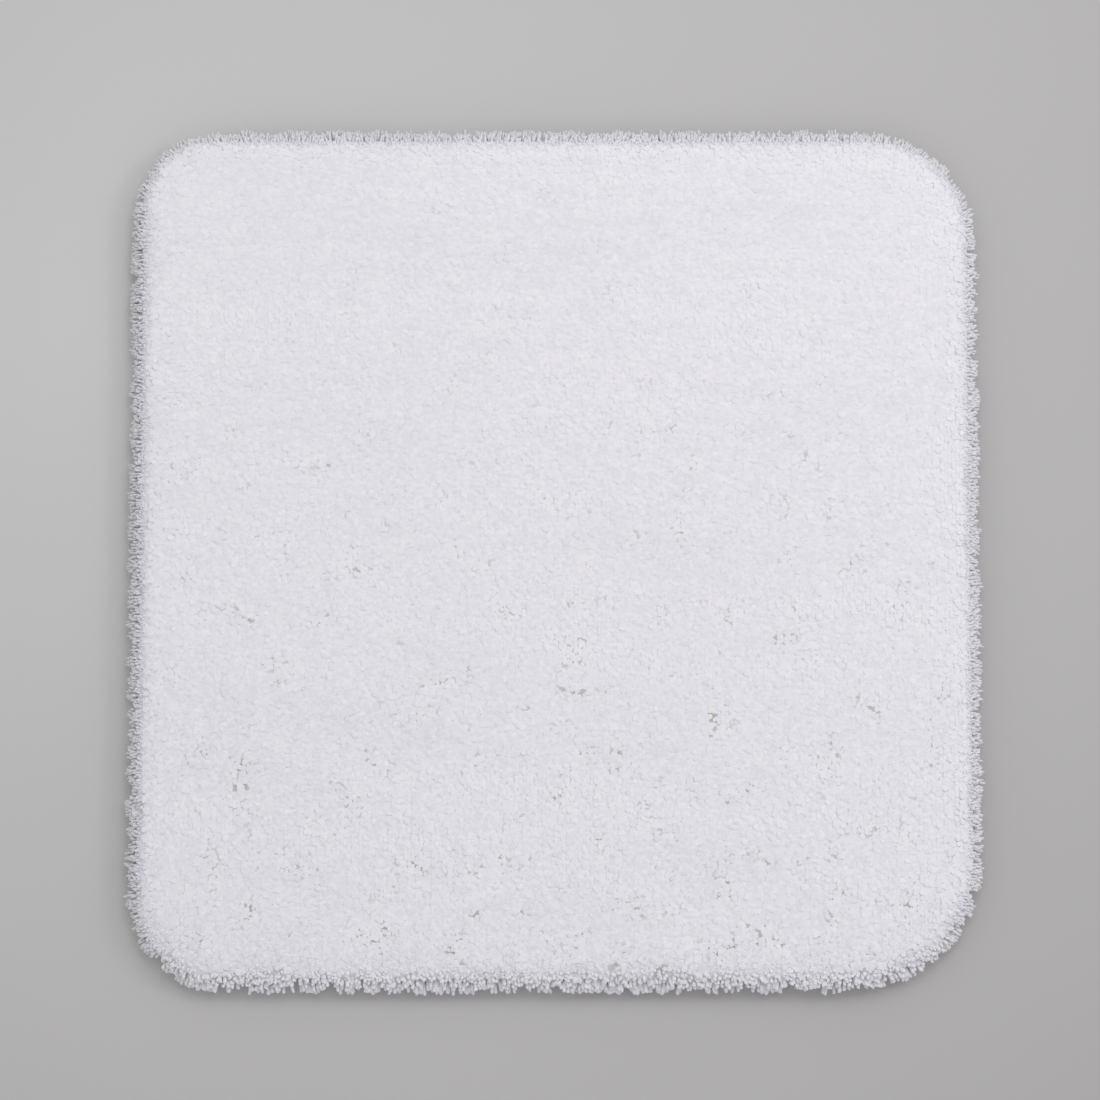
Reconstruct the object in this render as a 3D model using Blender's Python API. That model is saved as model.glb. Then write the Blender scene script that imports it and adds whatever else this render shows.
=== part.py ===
"""Tufted bath mat with a bound edge and an anti-slip back, as separate named layers, threads and tufts.

Metres, +Z up. The origin is the middle of the underside, on the surface that the mat lies on. +X runs to
the mat's right and +Y to its back. Every layer takes its outline from the same bound edge, set in by a
distance, and its height from the layers below it.
"""

import math

import bmesh
import bpy

# The bound edge, seen from above.
BASE_WIDTH = 0.550
BASE_DEPTH = 0.556
CORNER_BACK_LEFT = 0.050
CORNER_BACK_RIGHT = 0.070
CORNER_FRONT_LEFT = 0.060
CORNER_FRONT_RIGHT = 0.084
CORNER_STEPS = 10

# Layers, from the floor up.
GRIP_PAD_HEIGHT = 0.0014
GRIP_PAD_RADIUS = 0.006
GRIP_PAD_PITCH = 0.042
GRIP_PAD_SIDES = 8
GRIP_RIM_MARGIN = 0.034
FILM_THICKNESS = 0.0010
PRECOAT_THICKNESS = 0.0006
CLOTH_THICKNESS = 0.0008
TOUCHING_GAP = 0.0003

# The overlock seam round the edge.
THREAD_THICKNESS = 0.0007
THREAD_ROUNDING = 0.0002
BINDING_WIDTH = 0.006
NEEDLE_THREAD_WIDTH = 0.0008

# The pile.
PILE_HEIGHT = 0.018
EDGE_TUFT_BAND = 0.010
EDGE_TUFT_OVERHANG = 0.006
EDGE_TUFT_CLEARANCE = 0.0026
EDGE_SHOULDER_HEIGHT = 0.010
EDGE_SHOULDER_WIDTH = 0.014
EDGE_SHOULDER_STEPS = 5

# The blank care label, a ribbon folded once, with both tails caught in the seam at the back edge.
LABEL_WIDTH = 0.030
LABEL_LENGTH = 0.018
LABEL_RIBBON = 0.0002
LABEL_CENTRE_X = -0.150
LABEL_FOLD_STEPS = 4

# Heights that follow from the layers.
FILM_BOTTOM = GRIP_PAD_HEIGHT
FILM_TOP = FILM_BOTTOM + FILM_THICKNESS
PRECOAT_BOTTOM = FILM_TOP + TOUCHING_GAP
PRECOAT_TOP = PRECOAT_BOTTOM + PRECOAT_THICKNESS
CLOTH_BOTTOM = PRECOAT_TOP + TOUCHING_GAP
CLOTH_TOP = CLOTH_BOTTOM + CLOTH_THICKNESS
UPPER_THREAD_BOTTOM = CLOTH_TOP + TOUCHING_GAP
UPPER_THREAD_TOP = UPPER_THREAD_BOTTOM + THREAD_THICKNESS
LOWER_THREAD_TOP = FILM_BOTTOM - TOUCHING_GAP
LOWER_THREAD_BOTTOM = LOWER_THREAD_TOP - THREAD_THICKNESS
SEAM_MIDDLE = (UPPER_THREAD_TOP + LOWER_THREAD_BOTTOM) / 2
PILE_BOTTOM = CLOTH_TOP + TOUCHING_GAP
PILE_TOP = PILE_BOTTOM + PILE_HEIGHT

# Distances in from the bound edge that follow from the seam.
LAYER_INSET = THREAD_THICKNESS + TOUCHING_GAP
NEEDLE_THREAD_OUTER = BINDING_WIDTH + TOUCHING_GAP
NEEDLE_THREAD_INNER = NEEDLE_THREAD_OUTER + NEEDLE_THREAD_WIDTH
EDGE_TUFT_ROOT = NEEDLE_THREAD_INNER + TOUCHING_GAP
EDGE_TUFT_INNER = EDGE_TUFT_ROOT + EDGE_TUFT_BAND
PILE_FIELD_INSET = EDGE_TUFT_INNER + TOUCHING_GAP


def clear_scene():
    """Removes whatever the opened file holds."""
    for thing in list(bpy.data.objects):
        bpy.data.objects.remove(thing, do_unlink=True)


def make_material(name, colour, roughness):
    """A plain finish: nothing on the mat is metal."""
    material = bpy.data.materials.new(name)
    material.use_nodes = True
    shader = material.node_tree.nodes["Principled BSDF"]
    shader.inputs["Base Color"].default_value = (*colour, 1.0)
    shader.inputs["Roughness"].default_value = roughness
    shader.inputs["Metallic"].default_value = 0.0
    material.diffuse_color = (*colour, 1.0)
    return material


def pile_yarn():
    """Bright white, matt microfibre yarn."""
    return make_material("pile_yarn", (0.80, 0.80, 0.83), 0.95)


def backing_cloth():
    """Plain woven cloth, a little greyer than the yarn."""
    return make_material("backing_cloth", (0.70, 0.69, 0.66), 0.90)


def locking_latex():
    """The dried latex that locks the tufts."""
    return make_material("locking_latex", (0.78, 0.76, 0.70), 0.60)


def grip_rubber():
    """Soft, slightly shiny moulded rubber."""
    return make_material("grip_rubber", (0.72, 0.73, 0.74), 0.50)


def seam_thread():
    """White textured overlock thread."""
    return make_material("seam_thread", (0.72, 0.73, 0.72), 0.80)


def label_ribbon():
    """Smooth white satin ribbon with nothing printed on it."""
    return make_material("label_ribbon", (0.85, 0.85, 0.86), 0.45)


def corners():
    """Each corner's side along X and Y, its radius and the angle its arc starts at, going round."""
    return (
        (1, 1, CORNER_BACK_RIGHT, 0.0),
        (-1, 1, CORNER_BACK_LEFT, 90.0),
        (-1, -1, CORNER_FRONT_LEFT, 180.0),
        (1, -1, CORNER_FRONT_RIGHT, 270.0),
    )


def outline(inset):
    """The bound edge set in by inset, as points going round. A negative inset lies outside the edge."""
    points = []
    for side_x, side_y, radius, start in corners():
        centre_x = side_x * (BASE_WIDTH / 2 - radius)
        centre_y = side_y * (BASE_DEPTH / 2 - radius)
        for step in range(CORNER_STEPS + 1):
            angle = math.radians(start + 90.0 * step / CORNER_STEPS)
            reach = radius - inset
            points.append((centre_x + reach * math.cos(angle), centre_y + reach * math.sin(angle)))
    return points


def is_inside(x, y, inset):
    """Whether a point lies inside the bound edge set in by inset."""
    if abs(x) > BASE_WIDTH / 2 - inset or abs(y) > BASE_DEPTH / 2 - inset:
        return False
    for side_x, side_y, radius, _ in corners():
        past_x = side_x * x - (BASE_WIDTH / 2 - radius)
        past_y = side_y * y - (BASE_DEPTH / 2 - radius)
        if past_x > 0 and past_y > 0 and math.hypot(past_x, past_y) > radius - inset:
            return False
    return True


def add_loop(shape, inset, height):
    """A closed loop of vertices along the outline at one height."""
    return [shape.verts.new((x, y, height)) for x, y in outline(inset)]


def join_loops(shape, first, second):
    """A band of faces between two loops with as many vertices."""
    count = len(first)
    for index in range(count):
        after = (index + 1) % count
        shape.faces.new((first[index], first[after], second[after], second[index]))


def finish(name, shape, material, smooth_below=None):
    """Turns a bmesh into a named object with outward faces and one material."""
    bmesh.ops.recalc_face_normals(shape, faces=shape.faces)
    mesh = bpy.data.meshes.new(name)
    shape.to_mesh(mesh)
    shape.free()
    mesh.materials.append(material)
    if smooth_below is not None:
        mesh.shade_smooth()
        mesh.set_sharp_from_angle(angle=math.radians(smooth_below))
    thing = bpy.data.objects.new(name, mesh)
    bpy.context.scene.collection.objects.link(thing)
    return thing


def make_sheet(name, inset, bottom, top, material):
    """A flat layer with the mat's outline, extruded from its lower face."""
    shape = bmesh.new()
    face = shape.faces.new(add_loop(shape, inset, bottom))
    raised = bmesh.ops.extrude_face_region(shape, geom=[face])
    moved = [item for item in raised["geom"] if isinstance(item, bmesh.types.BMVert)]
    bmesh.ops.translate(shape, verts=moved, vec=(0.0, 0.0, top - bottom))
    return finish(name, shape, material)


def make_ring(name, profile, material, smooth_below=None):
    """A closed ring that follows the outline. The profile is (inset, height) points, going round."""
    shape = bmesh.new()
    loops = [add_loop(shape, inset, height) for inset, height in profile]
    for index, loop in enumerate(loops):
        join_loops(shape, loop, loops[(index + 1) % len(loops)])
    return finish(name, shape, material, smooth_below)


def grip_pad_places():
    """Centres of the grip pads: a square grid with one pad at the origin and a plain rim."""
    reach_x = int((BASE_WIDTH / 2 - GRIP_RIM_MARGIN) / GRIP_PAD_PITCH)
    reach_y = int((BASE_DEPTH / 2 - GRIP_RIM_MARGIN) / GRIP_PAD_PITCH)
    for column in range(-reach_x, reach_x + 1):
        for row in range(-reach_y, reach_y + 1):
            x = column * GRIP_PAD_PITCH
            y = row * GRIP_PAD_PITCH
            if is_inside(x, y, GRIP_RIM_MARGIN + GRIP_PAD_RADIUS):
                yield x, y


def make_grip_pads(top):
    """The moulded pads as one guide object, which reach up into the film that they are moulded with."""
    shape = bmesh.new()
    for x, y in grip_pad_places():
        pad = bmesh.ops.create_cone(
            shape,
            cap_ends=True,
            segments=GRIP_PAD_SIDES,
            radius1=GRIP_PAD_RADIUS,
            radius2=GRIP_PAD_RADIUS,
            depth=top,
        )
        bmesh.ops.translate(shape, verts=pad["verts"], vec=(x, y, top / 2))
    pads = finish("grip_pads", shape, bpy.data.materials["grip_rubber"])
    pads.hide_render = True
    pads.display_type = "WIRE"
    return pads


def make_anti_slip_backing():
    """The rubber film with its grip pads, moulded as one body that rests on the floor."""
    film = make_sheet("anti_slip_backing", LAYER_INSET, FILM_BOTTOM, FILM_TOP, grip_rubber())
    union = film.modifiers.new("mould_pads", "BOOLEAN")
    union.operation = "UNION"
    union.solver = "EXACT"
    union.object = make_grip_pads(FILM_BOTTOM + FILM_THICKNESS / 2)


def make_precoat():
    """The latex coat between the cloth and the rubber, which locks the tufts' roots."""
    make_sheet("latex_precoat", LAYER_INSET, PRECOAT_BOTTOM, PRECOAT_TOP, locking_latex())


def make_backing_cloth():
    """The woven cloth that the yarn is tufted through."""
    make_sheet("primary_backing_cloth", LAYER_INSET, CLOTH_BOTTOM, CLOTH_TOP, backing_cloth())


def make_seam_threads():
    """The three threads of the overlock seam: the two loopers wrap the edge and meet at its middle."""
    thread = seam_thread()
    above = SEAM_MIDDLE + TOUCHING_GAP / 2
    below = SEAM_MIDDLE - TOUCHING_GAP / 2
    upper = (
        (0.0, above),
        (THREAD_THICKNESS, above),
        (THREAD_THICKNESS, UPPER_THREAD_BOTTOM),
        (BINDING_WIDTH, UPPER_THREAD_BOTTOM),
        (BINDING_WIDTH, UPPER_THREAD_TOP - THREAD_ROUNDING),
        (BINDING_WIDTH - THREAD_ROUNDING, UPPER_THREAD_TOP),
        (THREAD_ROUNDING, UPPER_THREAD_TOP),
        (0.0, UPPER_THREAD_TOP - THREAD_ROUNDING),
    )
    lower = (
        (0.0, below),
        (THREAD_THICKNESS, below),
        (THREAD_THICKNESS, LOWER_THREAD_TOP),
        (BINDING_WIDTH, LOWER_THREAD_TOP),
        (BINDING_WIDTH, LOWER_THREAD_BOTTOM + THREAD_ROUNDING),
        (BINDING_WIDTH - THREAD_ROUNDING, LOWER_THREAD_BOTTOM),
        (THREAD_ROUNDING, LOWER_THREAD_BOTTOM),
        (0.0, LOWER_THREAD_BOTTOM + THREAD_ROUNDING),
    )
    needle = (
        (NEEDLE_THREAD_OUTER, UPPER_THREAD_BOTTOM),
        (NEEDLE_THREAD_INNER, UPPER_THREAD_BOTTOM),
        (NEEDLE_THREAD_INNER, UPPER_THREAD_TOP - THREAD_ROUNDING),
        (NEEDLE_THREAD_INNER - THREAD_ROUNDING, UPPER_THREAD_TOP),
        (NEEDLE_THREAD_OUTER + THREAD_ROUNDING, UPPER_THREAD_TOP),
        (NEEDLE_THREAD_OUTER, UPPER_THREAD_TOP - THREAD_ROUNDING),
    )
    make_ring("overlock_upper_looper_thread", upper, thread)
    make_ring("overlock_lower_looper_thread", lower, thread)
    make_ring("overlock_needle_thread", needle, thread)


def edge_tuft_profile():
    """Cross-section of the tufts at the edge: they stand on the cloth, lean out over the seam and droop."""
    over_seam = UPPER_THREAD_TOP + TOUCHING_GAP
    shoulder_start = PILE_TOP - EDGE_SHOULDER_HEIGHT
    points = [
        (EDGE_TUFT_INNER, PILE_BOTTOM),
        (EDGE_TUFT_ROOT, PILE_BOTTOM),
        (EDGE_TUFT_ROOT, over_seam),
        (-TOUCHING_GAP, over_seam),
        (-TOUCHING_GAP, EDGE_TUFT_CLEARANCE),
        (-EDGE_TUFT_OVERHANG, EDGE_TUFT_CLEARANCE),
    ]
    for step in range(EDGE_SHOULDER_STEPS + 1):
        angle = math.radians(90.0 * step / EDGE_SHOULDER_STEPS)
        inset = -EDGE_TUFT_OVERHANG + EDGE_SHOULDER_WIDTH * (1.0 - math.cos(angle))
        height = shoulder_start + EDGE_SHOULDER_HEIGHT * math.sin(angle)
        points.append((inset, height))
    points.append((EDGE_TUFT_INNER, PILE_TOP))
    return points


def make_pile():
    """The cut pile: the upright field, and the outer tufts that hide the seam."""
    yarn = pile_yarn()
    make_sheet("pile_field", PILE_FIELD_INSET, PILE_BOTTOM, PILE_TOP, yarn)
    make_ring("pile_edge_tufts", edge_tuft_profile(), yarn, smooth_below=40.0)


def label_profile():
    """The folded ribbon seen from its side, as (distance in from its tails, height) points."""
    top = LOWER_THREAD_TOP
    bottom = LOWER_THREAD_BOTTOM
    middle = (top + bottom) / 2
    outer = (top - bottom) / 2
    inner = outer - LABEL_RIBBON
    bend = LABEL_LENGTH - outer
    points = [(0.0, top - LABEL_RIBBON), (0.0, top)]
    for step in range(LABEL_FOLD_STEPS + 1):
        angle = math.radians(90.0 - 180.0 * step / LABEL_FOLD_STEPS)
        points.append((bend + outer * math.cos(angle), middle + outer * math.sin(angle)))
    points.append((0.0, bottom))
    points.append((0.0, bottom + LABEL_RIBBON))
    for step in range(LABEL_FOLD_STEPS + 1):
        angle = math.radians(-90.0 + 180.0 * step / LABEL_FOLD_STEPS)
        points.append((bend + inner * math.cos(angle), middle + inner * math.sin(angle)))
    return points


def make_care_label():
    """The blank label under the back edge, beside the lower thread that holds its tails."""
    tails_y = BASE_DEPTH / 2 - BINDING_WIDTH - TOUCHING_GAP
    left = LABEL_CENTRE_X - LABEL_WIDTH / 2
    shape = bmesh.new()
    verts = [shape.verts.new((left, tails_y - along, height)) for along, height in label_profile()]
    side = shape.faces.new(verts)
    raised = bmesh.ops.extrude_face_region(shape, geom=[side])
    moved = [item for item in raised["geom"] if isinstance(item, bmesh.types.BMVert)]
    bmesh.ops.translate(shape, verts=moved, vec=(LABEL_WIDTH, 0.0, 0.0))
    finish("care_label", shape, label_ribbon(), smooth_below=50.0)


clear_scene()
make_anti_slip_backing()
make_precoat()
make_backing_cloth()
make_seam_threads()
make_pile()
make_care_label()
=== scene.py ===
"""Looks of a tufted bath mat: its cut pile, backing, overlocked edge, grip back and blank label.

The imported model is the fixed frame. Every size that it holds is read from it, in metres, with +Z up and the
mat's underside on the floor. The pile is made of single yarn ends: a few are modelled, and copies of them are
bent, turned and set in rows over the cloth, as a tufting machine leaves them.
"""

import logging
import math
from dataclasses import dataclass, field
from enum import Enum
from typing import Callable, Sequence

import bmesh
import bpy
import numpy as np
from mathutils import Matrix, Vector


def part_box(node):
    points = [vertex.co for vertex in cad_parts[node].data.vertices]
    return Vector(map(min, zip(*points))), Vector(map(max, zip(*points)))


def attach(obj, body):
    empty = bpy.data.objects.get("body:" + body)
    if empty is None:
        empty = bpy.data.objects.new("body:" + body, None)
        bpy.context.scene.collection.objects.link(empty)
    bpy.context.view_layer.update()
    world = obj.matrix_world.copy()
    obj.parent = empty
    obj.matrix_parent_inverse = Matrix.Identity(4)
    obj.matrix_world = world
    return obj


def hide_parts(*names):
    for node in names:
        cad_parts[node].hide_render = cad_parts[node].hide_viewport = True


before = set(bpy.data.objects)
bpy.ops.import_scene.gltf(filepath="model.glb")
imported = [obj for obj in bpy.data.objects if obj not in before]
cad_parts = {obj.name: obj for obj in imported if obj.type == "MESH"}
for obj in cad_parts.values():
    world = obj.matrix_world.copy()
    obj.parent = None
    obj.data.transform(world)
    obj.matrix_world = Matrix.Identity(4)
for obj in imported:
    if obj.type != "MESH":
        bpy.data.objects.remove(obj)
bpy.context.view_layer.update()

LOG = logging.getLogger("bath_mat")
ROOT_BODY = "root"
BAKE_MAP = "OFBake"
TONE_AND_SHADE = "tuft_tone_and_shade"
ALONG = "tuft_along"
MM = 0.001
FLOOR_GAP = 0.3 * MM
TINY = 1e-9
ON_AXIS = 1e-6
# A wave texture's stripes repeat every pi / 10 of its scaled vector.
STRIPE_PACE = math.pi / 10.0
# How much of its cell of the baking map each copy leaves free on every side.
CELL_MARGIN = 0.06

Colour = tuple[float, float, float]


class Face(Enum):
    """Which side of the cloth a looper thread covers."""

    UPPER = 1
    LOWER = -1


class Side(Enum):
    """A side of the mat, with the way straight out of it."""

    RIGHT = (1.0, 0.0)
    BACK = (0.0, 1.0)
    LEFT = (-1.0, 0.0)
    FRONT = (0.0, -1.0)


# ---------------------------------------------------------------------------------------------------------
# Shader maths
# ---------------------------------------------------------------------------------------------------------


class Signal:
    """One output of a node, so that shader maths reads as Python."""

    def __init__(self, bench: "Bench", socket: bpy.types.NodeSocket) -> None:
        """Keeps the socket and the material it belongs to."""
        self.bench = bench
        self.socket = socket

    def _maths(self, operation: str, *values: "Signal | float") -> "Signal":
        """Adds a Math node on these values."""
        return self.bench.node("ShaderNodeMath", {"operation": operation}, dict(enumerate(values)))

    def __add__(self, other: "Signal | float") -> "Signal":
        """This plus other."""
        return self._maths("ADD", self, other)

    def __sub__(self, other: "Signal | float") -> "Signal":
        """This minus other."""
        return self._maths("SUBTRACT", self, other)

    def __rsub__(self, other: float) -> "Signal":
        """Other minus this."""
        return self._maths("SUBTRACT", other, self)

    def __mul__(self, other: "Signal | float") -> "Signal":
        """This times other."""
        return self._maths("MULTIPLY", self, other)

    def __pow__(self, other: float) -> "Signal":
        """This to the power of other."""
        return self._maths("POWER", self, other)

    def highest(self, other: "Signal | float") -> "Signal":
        """The larger of this and other."""
        return self._maths("MAXIMUM", self, other)


class Bench:
    """A new material with one Principled shader, and the ways to build the nodes that feed it."""

    def __init__(self, name: str, roughness: float, sheen: float = 0.0, specular: float = 0.5) -> None:
        """Makes the material and sets what is the same all over it.

        Args:
            name: The material's name.
            roughness: How matt the surface is.
            sheen: How much soft light loose fibres catch at grazing angles.
            specular: The shader's specular level.
        """
        self.material = bpy.data.materials.new(name)
        self.material.use_nodes = True
        self.tree = self.material.node_tree
        self.shader = self.tree.nodes["Principled BSDF"]
        self.set_socket(self.shader, "Roughness", roughness)
        self.set_socket(self.shader, "Sheen Weight", sheen)
        self.set_socket(self.shader, "Sheen Roughness", 0.5)
        self.set_socket(self.shader, "Specular IOR Level", specular)

    def set_socket(self, node: bpy.types.Node, name: "str | int", value: object) -> None:
        """Links or sets one input.

        Args:
            node: The node it belongs to.
            name: Its name or its number.
            value: A signal to link, or a value to set.
        """
        socket = node.inputs[name]
        if isinstance(value, Signal):
            self.tree.links.new(value.socket, socket)
        else:
            socket.default_value = value

    def node(
        self, kind: str, settings: dict | None = None, inputs: dict | None = None, output: int = 0
    ) -> Signal:
        """Adds any node.

        Args:
            kind: Blender's name for the node type.
            settings: Its properties.
            inputs: Values or signals for its sockets, by name or number.
            output: Which of its outputs is wanted.

        Returns:
            The wanted output.
        """
        made = self.tree.nodes.new(kind)
        for name, value in (settings or {}).items():
            setattr(made, name, value)
        for name, value in (inputs or {}).items():
            self.set_socket(made, name, value)
        return Signal(self, made.outputs[output])

    def places(self) -> Signal:
        """Object coordinates."""
        return self.node("ShaderNodeTexCoord", output=3)

    def stored(self, name: str) -> Signal:
        """A number stored on the mesh."""
        return self.node("ShaderNodeAttribute", {"attribute_name": name}, output=2)

    def scaled(self, vector: Signal, scale: Sequence[float], turn: float = 0.0) -> Signal:
        """Stretches a vector along each axis, then turns it about Z."""
        inputs = {"Vector": vector, "Scale": tuple(scale), "Rotation": (0.0, 0.0, turn)}
        return self.node("ShaderNodeMapping", inputs=inputs)

    def noise(self, vector: Signal, scale: float, detail: float = 2.0) -> Signal:
        """A smooth noise from 0 to 1."""
        inputs = {"Vector": vector, "Scale": scale, "Detail": detail}
        return self.node("ShaderNodeTexNoise", inputs=inputs)

    def stripes(self, vector: Signal, axis: str, scale: float, wobble: float = 0.0) -> Signal:
        """Rounded stripes across one axis, from 0 to 1."""
        settings = {"wave_type": "BANDS", "bands_direction": axis, "wave_profile": "SIN"}
        inputs = {"Vector": vector, "Scale": scale, "Distortion": wobble}
        return self.node("ShaderNodeTexWave", settings, inputs)

    def between(self, share: "Signal | float", low: "Signal | Colour", high: "Signal | Colour") -> Signal:
        """Mixes two colours.

        Args:
            share: How much of the second colour there is, from 0 to 1.
            low: The first colour.
            high: The second colour.

        Returns:
            The mixed colour.
        """
        first = low if isinstance(low, Signal) else (*low, 1.0)
        second = high if isinstance(high, Signal) else (*high, 1.0)
        return self.node("ShaderNodeMix", {"data_type": "RGBA"}, {0: share, 6: first, 7: second}, output=2)

    def paint(
        self, colour: Signal, bump: Signal | None = None, depth: float = 0.0, strength: float = 1.0
    ) -> None:
        """Feeds the shader.

        Args:
            colour: What goes into Base Color.
            bump: Height of the fine relief, from 0 to 1.
            depth: How deep that relief is, in metres.
            strength: How much of it the normal takes.
        """
        self.set_socket(self.shader, "Base Color", colour)
        if bump is not None:
            inputs = {"Height": bump, "Distance": depth, "Strength": strength}
            self.set_socket(self.shader, "Normal", self.node("ShaderNodeBump", inputs=inputs))


# ---------------------------------------------------------------------------------------------------------
# Finishes
# ---------------------------------------------------------------------------------------------------------


@dataclass(frozen=True)
class YarnFinish:
    """Cool white microfibre yarn: bright, matt ends, a darker, warmer root that is painted shade deep in the
    pile, and grey painted shade where its tone is below nought.

    Where its painted gap shade is over 0, the yarn also turns grey in small groups, more of them towards the
    front:
    painted shade in the gaps between yarn ends.
    """

    shaded: Colour = (0.860, 0.845, 0.905)
    bright: Colour = (0.965, 0.950, 0.995)
    # The root colour is darker and warmer than the ends: painted shade deep in the pile.
    root: Colour = (0.820, 0.815, 0.790)
    # The grey, taken where the tone is below nought, is painted shade.
    grey: Colour = (0.74, 0.74, 0.73)
    roughness: float = 0.95
    sheen: float = 0.15
    name: str = "pile_yarn"
    fibre_scale: float = 1100.0
    combed_scale: float = 520.0
    patch_scale: float = 38.0
    fibre_depth: float = 0.25 * MM
    # These settings put grey painted shade in small groups, standing for shade in the gaps between yarn ends.
    painted_gap_shade_scale: float = 42.0
    painted_gap_shade_above: float = 0.50
    painted_gap_shade: float = 0.0
    painted_gap_shade_forward: float = -2.0
    painted_gap_shade_middle: float = 0.8
    mean_share: float = 0.98

    def make(self) -> bpy.types.Material:
        """Builds the material."""
        bench = Bench(self.name, self.roughness, self.sheen, specular=0.2)
        tone = bench.stored(TONE_AND_SHADE)
        # Painted shade: noise greys the yarn in small groups, more towards the front, as shade in the gaps
        # between yarn ends.
        if self.painted_gap_shade > 0.0:
            sunk = bench.noise(bench.places(), self.painted_gap_shade_scale) - self.painted_gap_shade_above
            forward = bench.node("ShaderNodeSeparateXYZ", inputs={0: bench.places()}, output=1)
            forward = forward * self.painted_gap_shade_forward + self.painted_gap_shade_middle
            tone = tone - (sunk * forward * (10.0 * self.painted_gap_shade)).highest(0.0)
        along = bench.stored(ALONG)
        fibres = bench.noise(bench.scaled(bench.places(), (1.0, 1.0, 0.35)), self.fibre_scale)
        combed = bench.noise(bench.scaled(bench.places(), (0.45, 1.0, 0.45)), self.combed_scale)
        patches = bench.noise(bench.places(), self.patch_scale)
        share = tone * 0.50 + fibres * 0.90 + combed * 1.20 + patches * 0.30 - self.mean_share
        body = bench.between(share, self.shaded, self.bright)
        # Painted shade: the yarn darkens towards its root, standing for shade deep in the pile.
        rooted = (1.0 - along) ** 2.0
        yarn = bench.between(rooted, body, self.root)
        # A tone below nought stands for grey painted shade, and a Mix node holds its share between 0 and 1.
        bench.paint(bench.between(0.0 - tone, yarn, self.grey), fibres, self.fibre_depth, 0.5)
        return bench.material


@dataclass(frozen=True)
class WovenFinish:
    """Plain weave of warp and weft, as on a backing cloth or, finer and glossier, a satin ribbon."""

    name: str
    thread: Colour
    # The gap colour is painted shade between the threads.
    gap: Colour
    pitch: float
    roughness: float
    sheen: float = 0.0

    def make(self) -> bpy.types.Material:
        """Builds the material."""
        bench = Bench(self.name, self.roughness, self.sheen, specular=0.3)
        places = bench.places()
        scale = STRIPE_PACE / self.pitch
        warp = bench.stripes(places, "X", scale, wobble=0.4)
        weft = bench.stripes(places, "Y", scale, wobble=0.4)
        raised = warp.highest(weft)
        slubs = bench.noise(bench.scaled(places, (0.15, 1.0, 1.0)), 1.0 / (3.0 * self.pitch))
        # Painted shade: the gaps between the raised threads take the darker colour.
        colour = bench.between(raised * 0.7 + slubs * 0.3, self.gap, self.thread)
        bench.paint(colour, raised, self.pitch * 0.3)
        return bench.material


@dataclass(frozen=True)
class LatexFinish:
    """Dried latex: cream, a little uneven, with small pinholes."""

    thick: Colour = (0.78, 0.76, 0.70)
    thin: Colour = (0.66, 0.64, 0.58)
    roughness: float = 0.6

    def make(self) -> bpy.types.Material:
        """Builds the material."""
        bench = Bench("locking_latex", self.roughness)
        clouds = bench.noise(bench.places(), 60.0, 4.0)
        grains = bench.noise(bench.places(), 1400.0)
        bench.paint(bench.between(clouds * 0.7 + grains * 0.3, self.thin, self.thick), grains, 0.2 * MM)
        return bench.material


@dataclass(frozen=True)
class GripFinish:
    """Soft pale rubber with a fine moulded stipple."""

    raised: Colour = (0.74, 0.75, 0.76)
    # The sunk colour is painted shade in the stipple's hollows.
    sunk: Colour = (0.64, 0.65, 0.66)
    roughness: float = 0.5
    stipple_pitch: float = 0.9 * MM

    def make(self) -> bpy.types.Material:
        """Builds the material."""
        bench = Bench("grip_rubber", self.roughness, specular=0.35)
        places = bench.places()
        scale = STRIPE_PACE / self.stipple_pitch
        stipple = bench.stripes(places, "X", scale) * bench.stripes(places, "Y", scale)
        dust = bench.noise(places, 25.0, 5.0)
        # Painted shade: the stipple's hollows take the sunk colour, and the dust noise is the rubber's own
        # mottle.
        colour = bench.between(stipple * 0.6 + dust * 0.4, self.sunk, self.raised)
        bench.set_socket(bench.shader, "Roughness", dust * 0.25 + 0.40)
        bench.paint(colour, stipple, 0.15 * MM)
        return bench.material


@dataclass(frozen=True)
class ThreadFinish:
    """White textured thread, with its plies slanting round it."""

    ply: Colour = (0.80, 0.80, 0.80)
    # The darker groove colour is painted shade between the plies.
    groove_shade: Colour = (0.52, 0.53, 0.52)
    roughness: float = 0.8
    ply_pitch: float = 0.9 * MM

    def make(self) -> bpy.types.Material:
        """Builds the material."""
        bench = Bench("seam_thread", self.roughness, sheen=0.1, specular=0.3)
        slanted = bench.scaled(bench.places(), (1.0, 1.0, 1.0), math.radians(30.0))
        plies = bench.stripes(slanted, "DIAGONAL", STRIPE_PACE / self.ply_pitch, wobble=0.6)
        fuzz = bench.noise(bench.places(), 2500.0)
        # Painted shade: the grooves between the plies take the darker colour.
        bench.paint(bench.between(plies * 0.6 + fuzz * 0.4, self.groove_shade, self.ply), plies, 0.15 * MM)
        return bench.material


@dataclass(frozen=True)
class FloorFinish:
    """A plain pale grey studio floor with a painted fall of light: it darkens a little away from one side."""

    # Near is painted light and far is painted shade, set by distance from the middle.
    near: Colour = (0.690, 0.680, 0.683)
    far: Colour = (0.470, 0.458, 0.463)
    middle: tuple[float, float, float] = (-0.28, 0.16, 0.0)
    reach: float = 0.95
    roughness: float = 0.9

    def make(self) -> bpy.types.Material:
        """Builds the material."""
        bench = Bench("studio_floor", self.roughness, specular=0.1)
        # Painted light: the floor's colour darkens with distance from the middle.
        away = bench.node(
            "ShaderNodeVectorMath", {"operation": "DISTANCE"}, {0: bench.places(), 1: self.middle}, output=1
        )
        share = bench.node("ShaderNodeMapRange", {"clamp": True}, {0: away, 1: 0.0, 2: self.reach})
        paper = bench.noise(bench.places(), 6.0)
        bench.paint(bench.between(share + paper * 0.04, self.near, self.far))
        return bench.material


# ---------------------------------------------------------------------------------------------------------
# The mat's outline
# ---------------------------------------------------------------------------------------------------------


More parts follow.
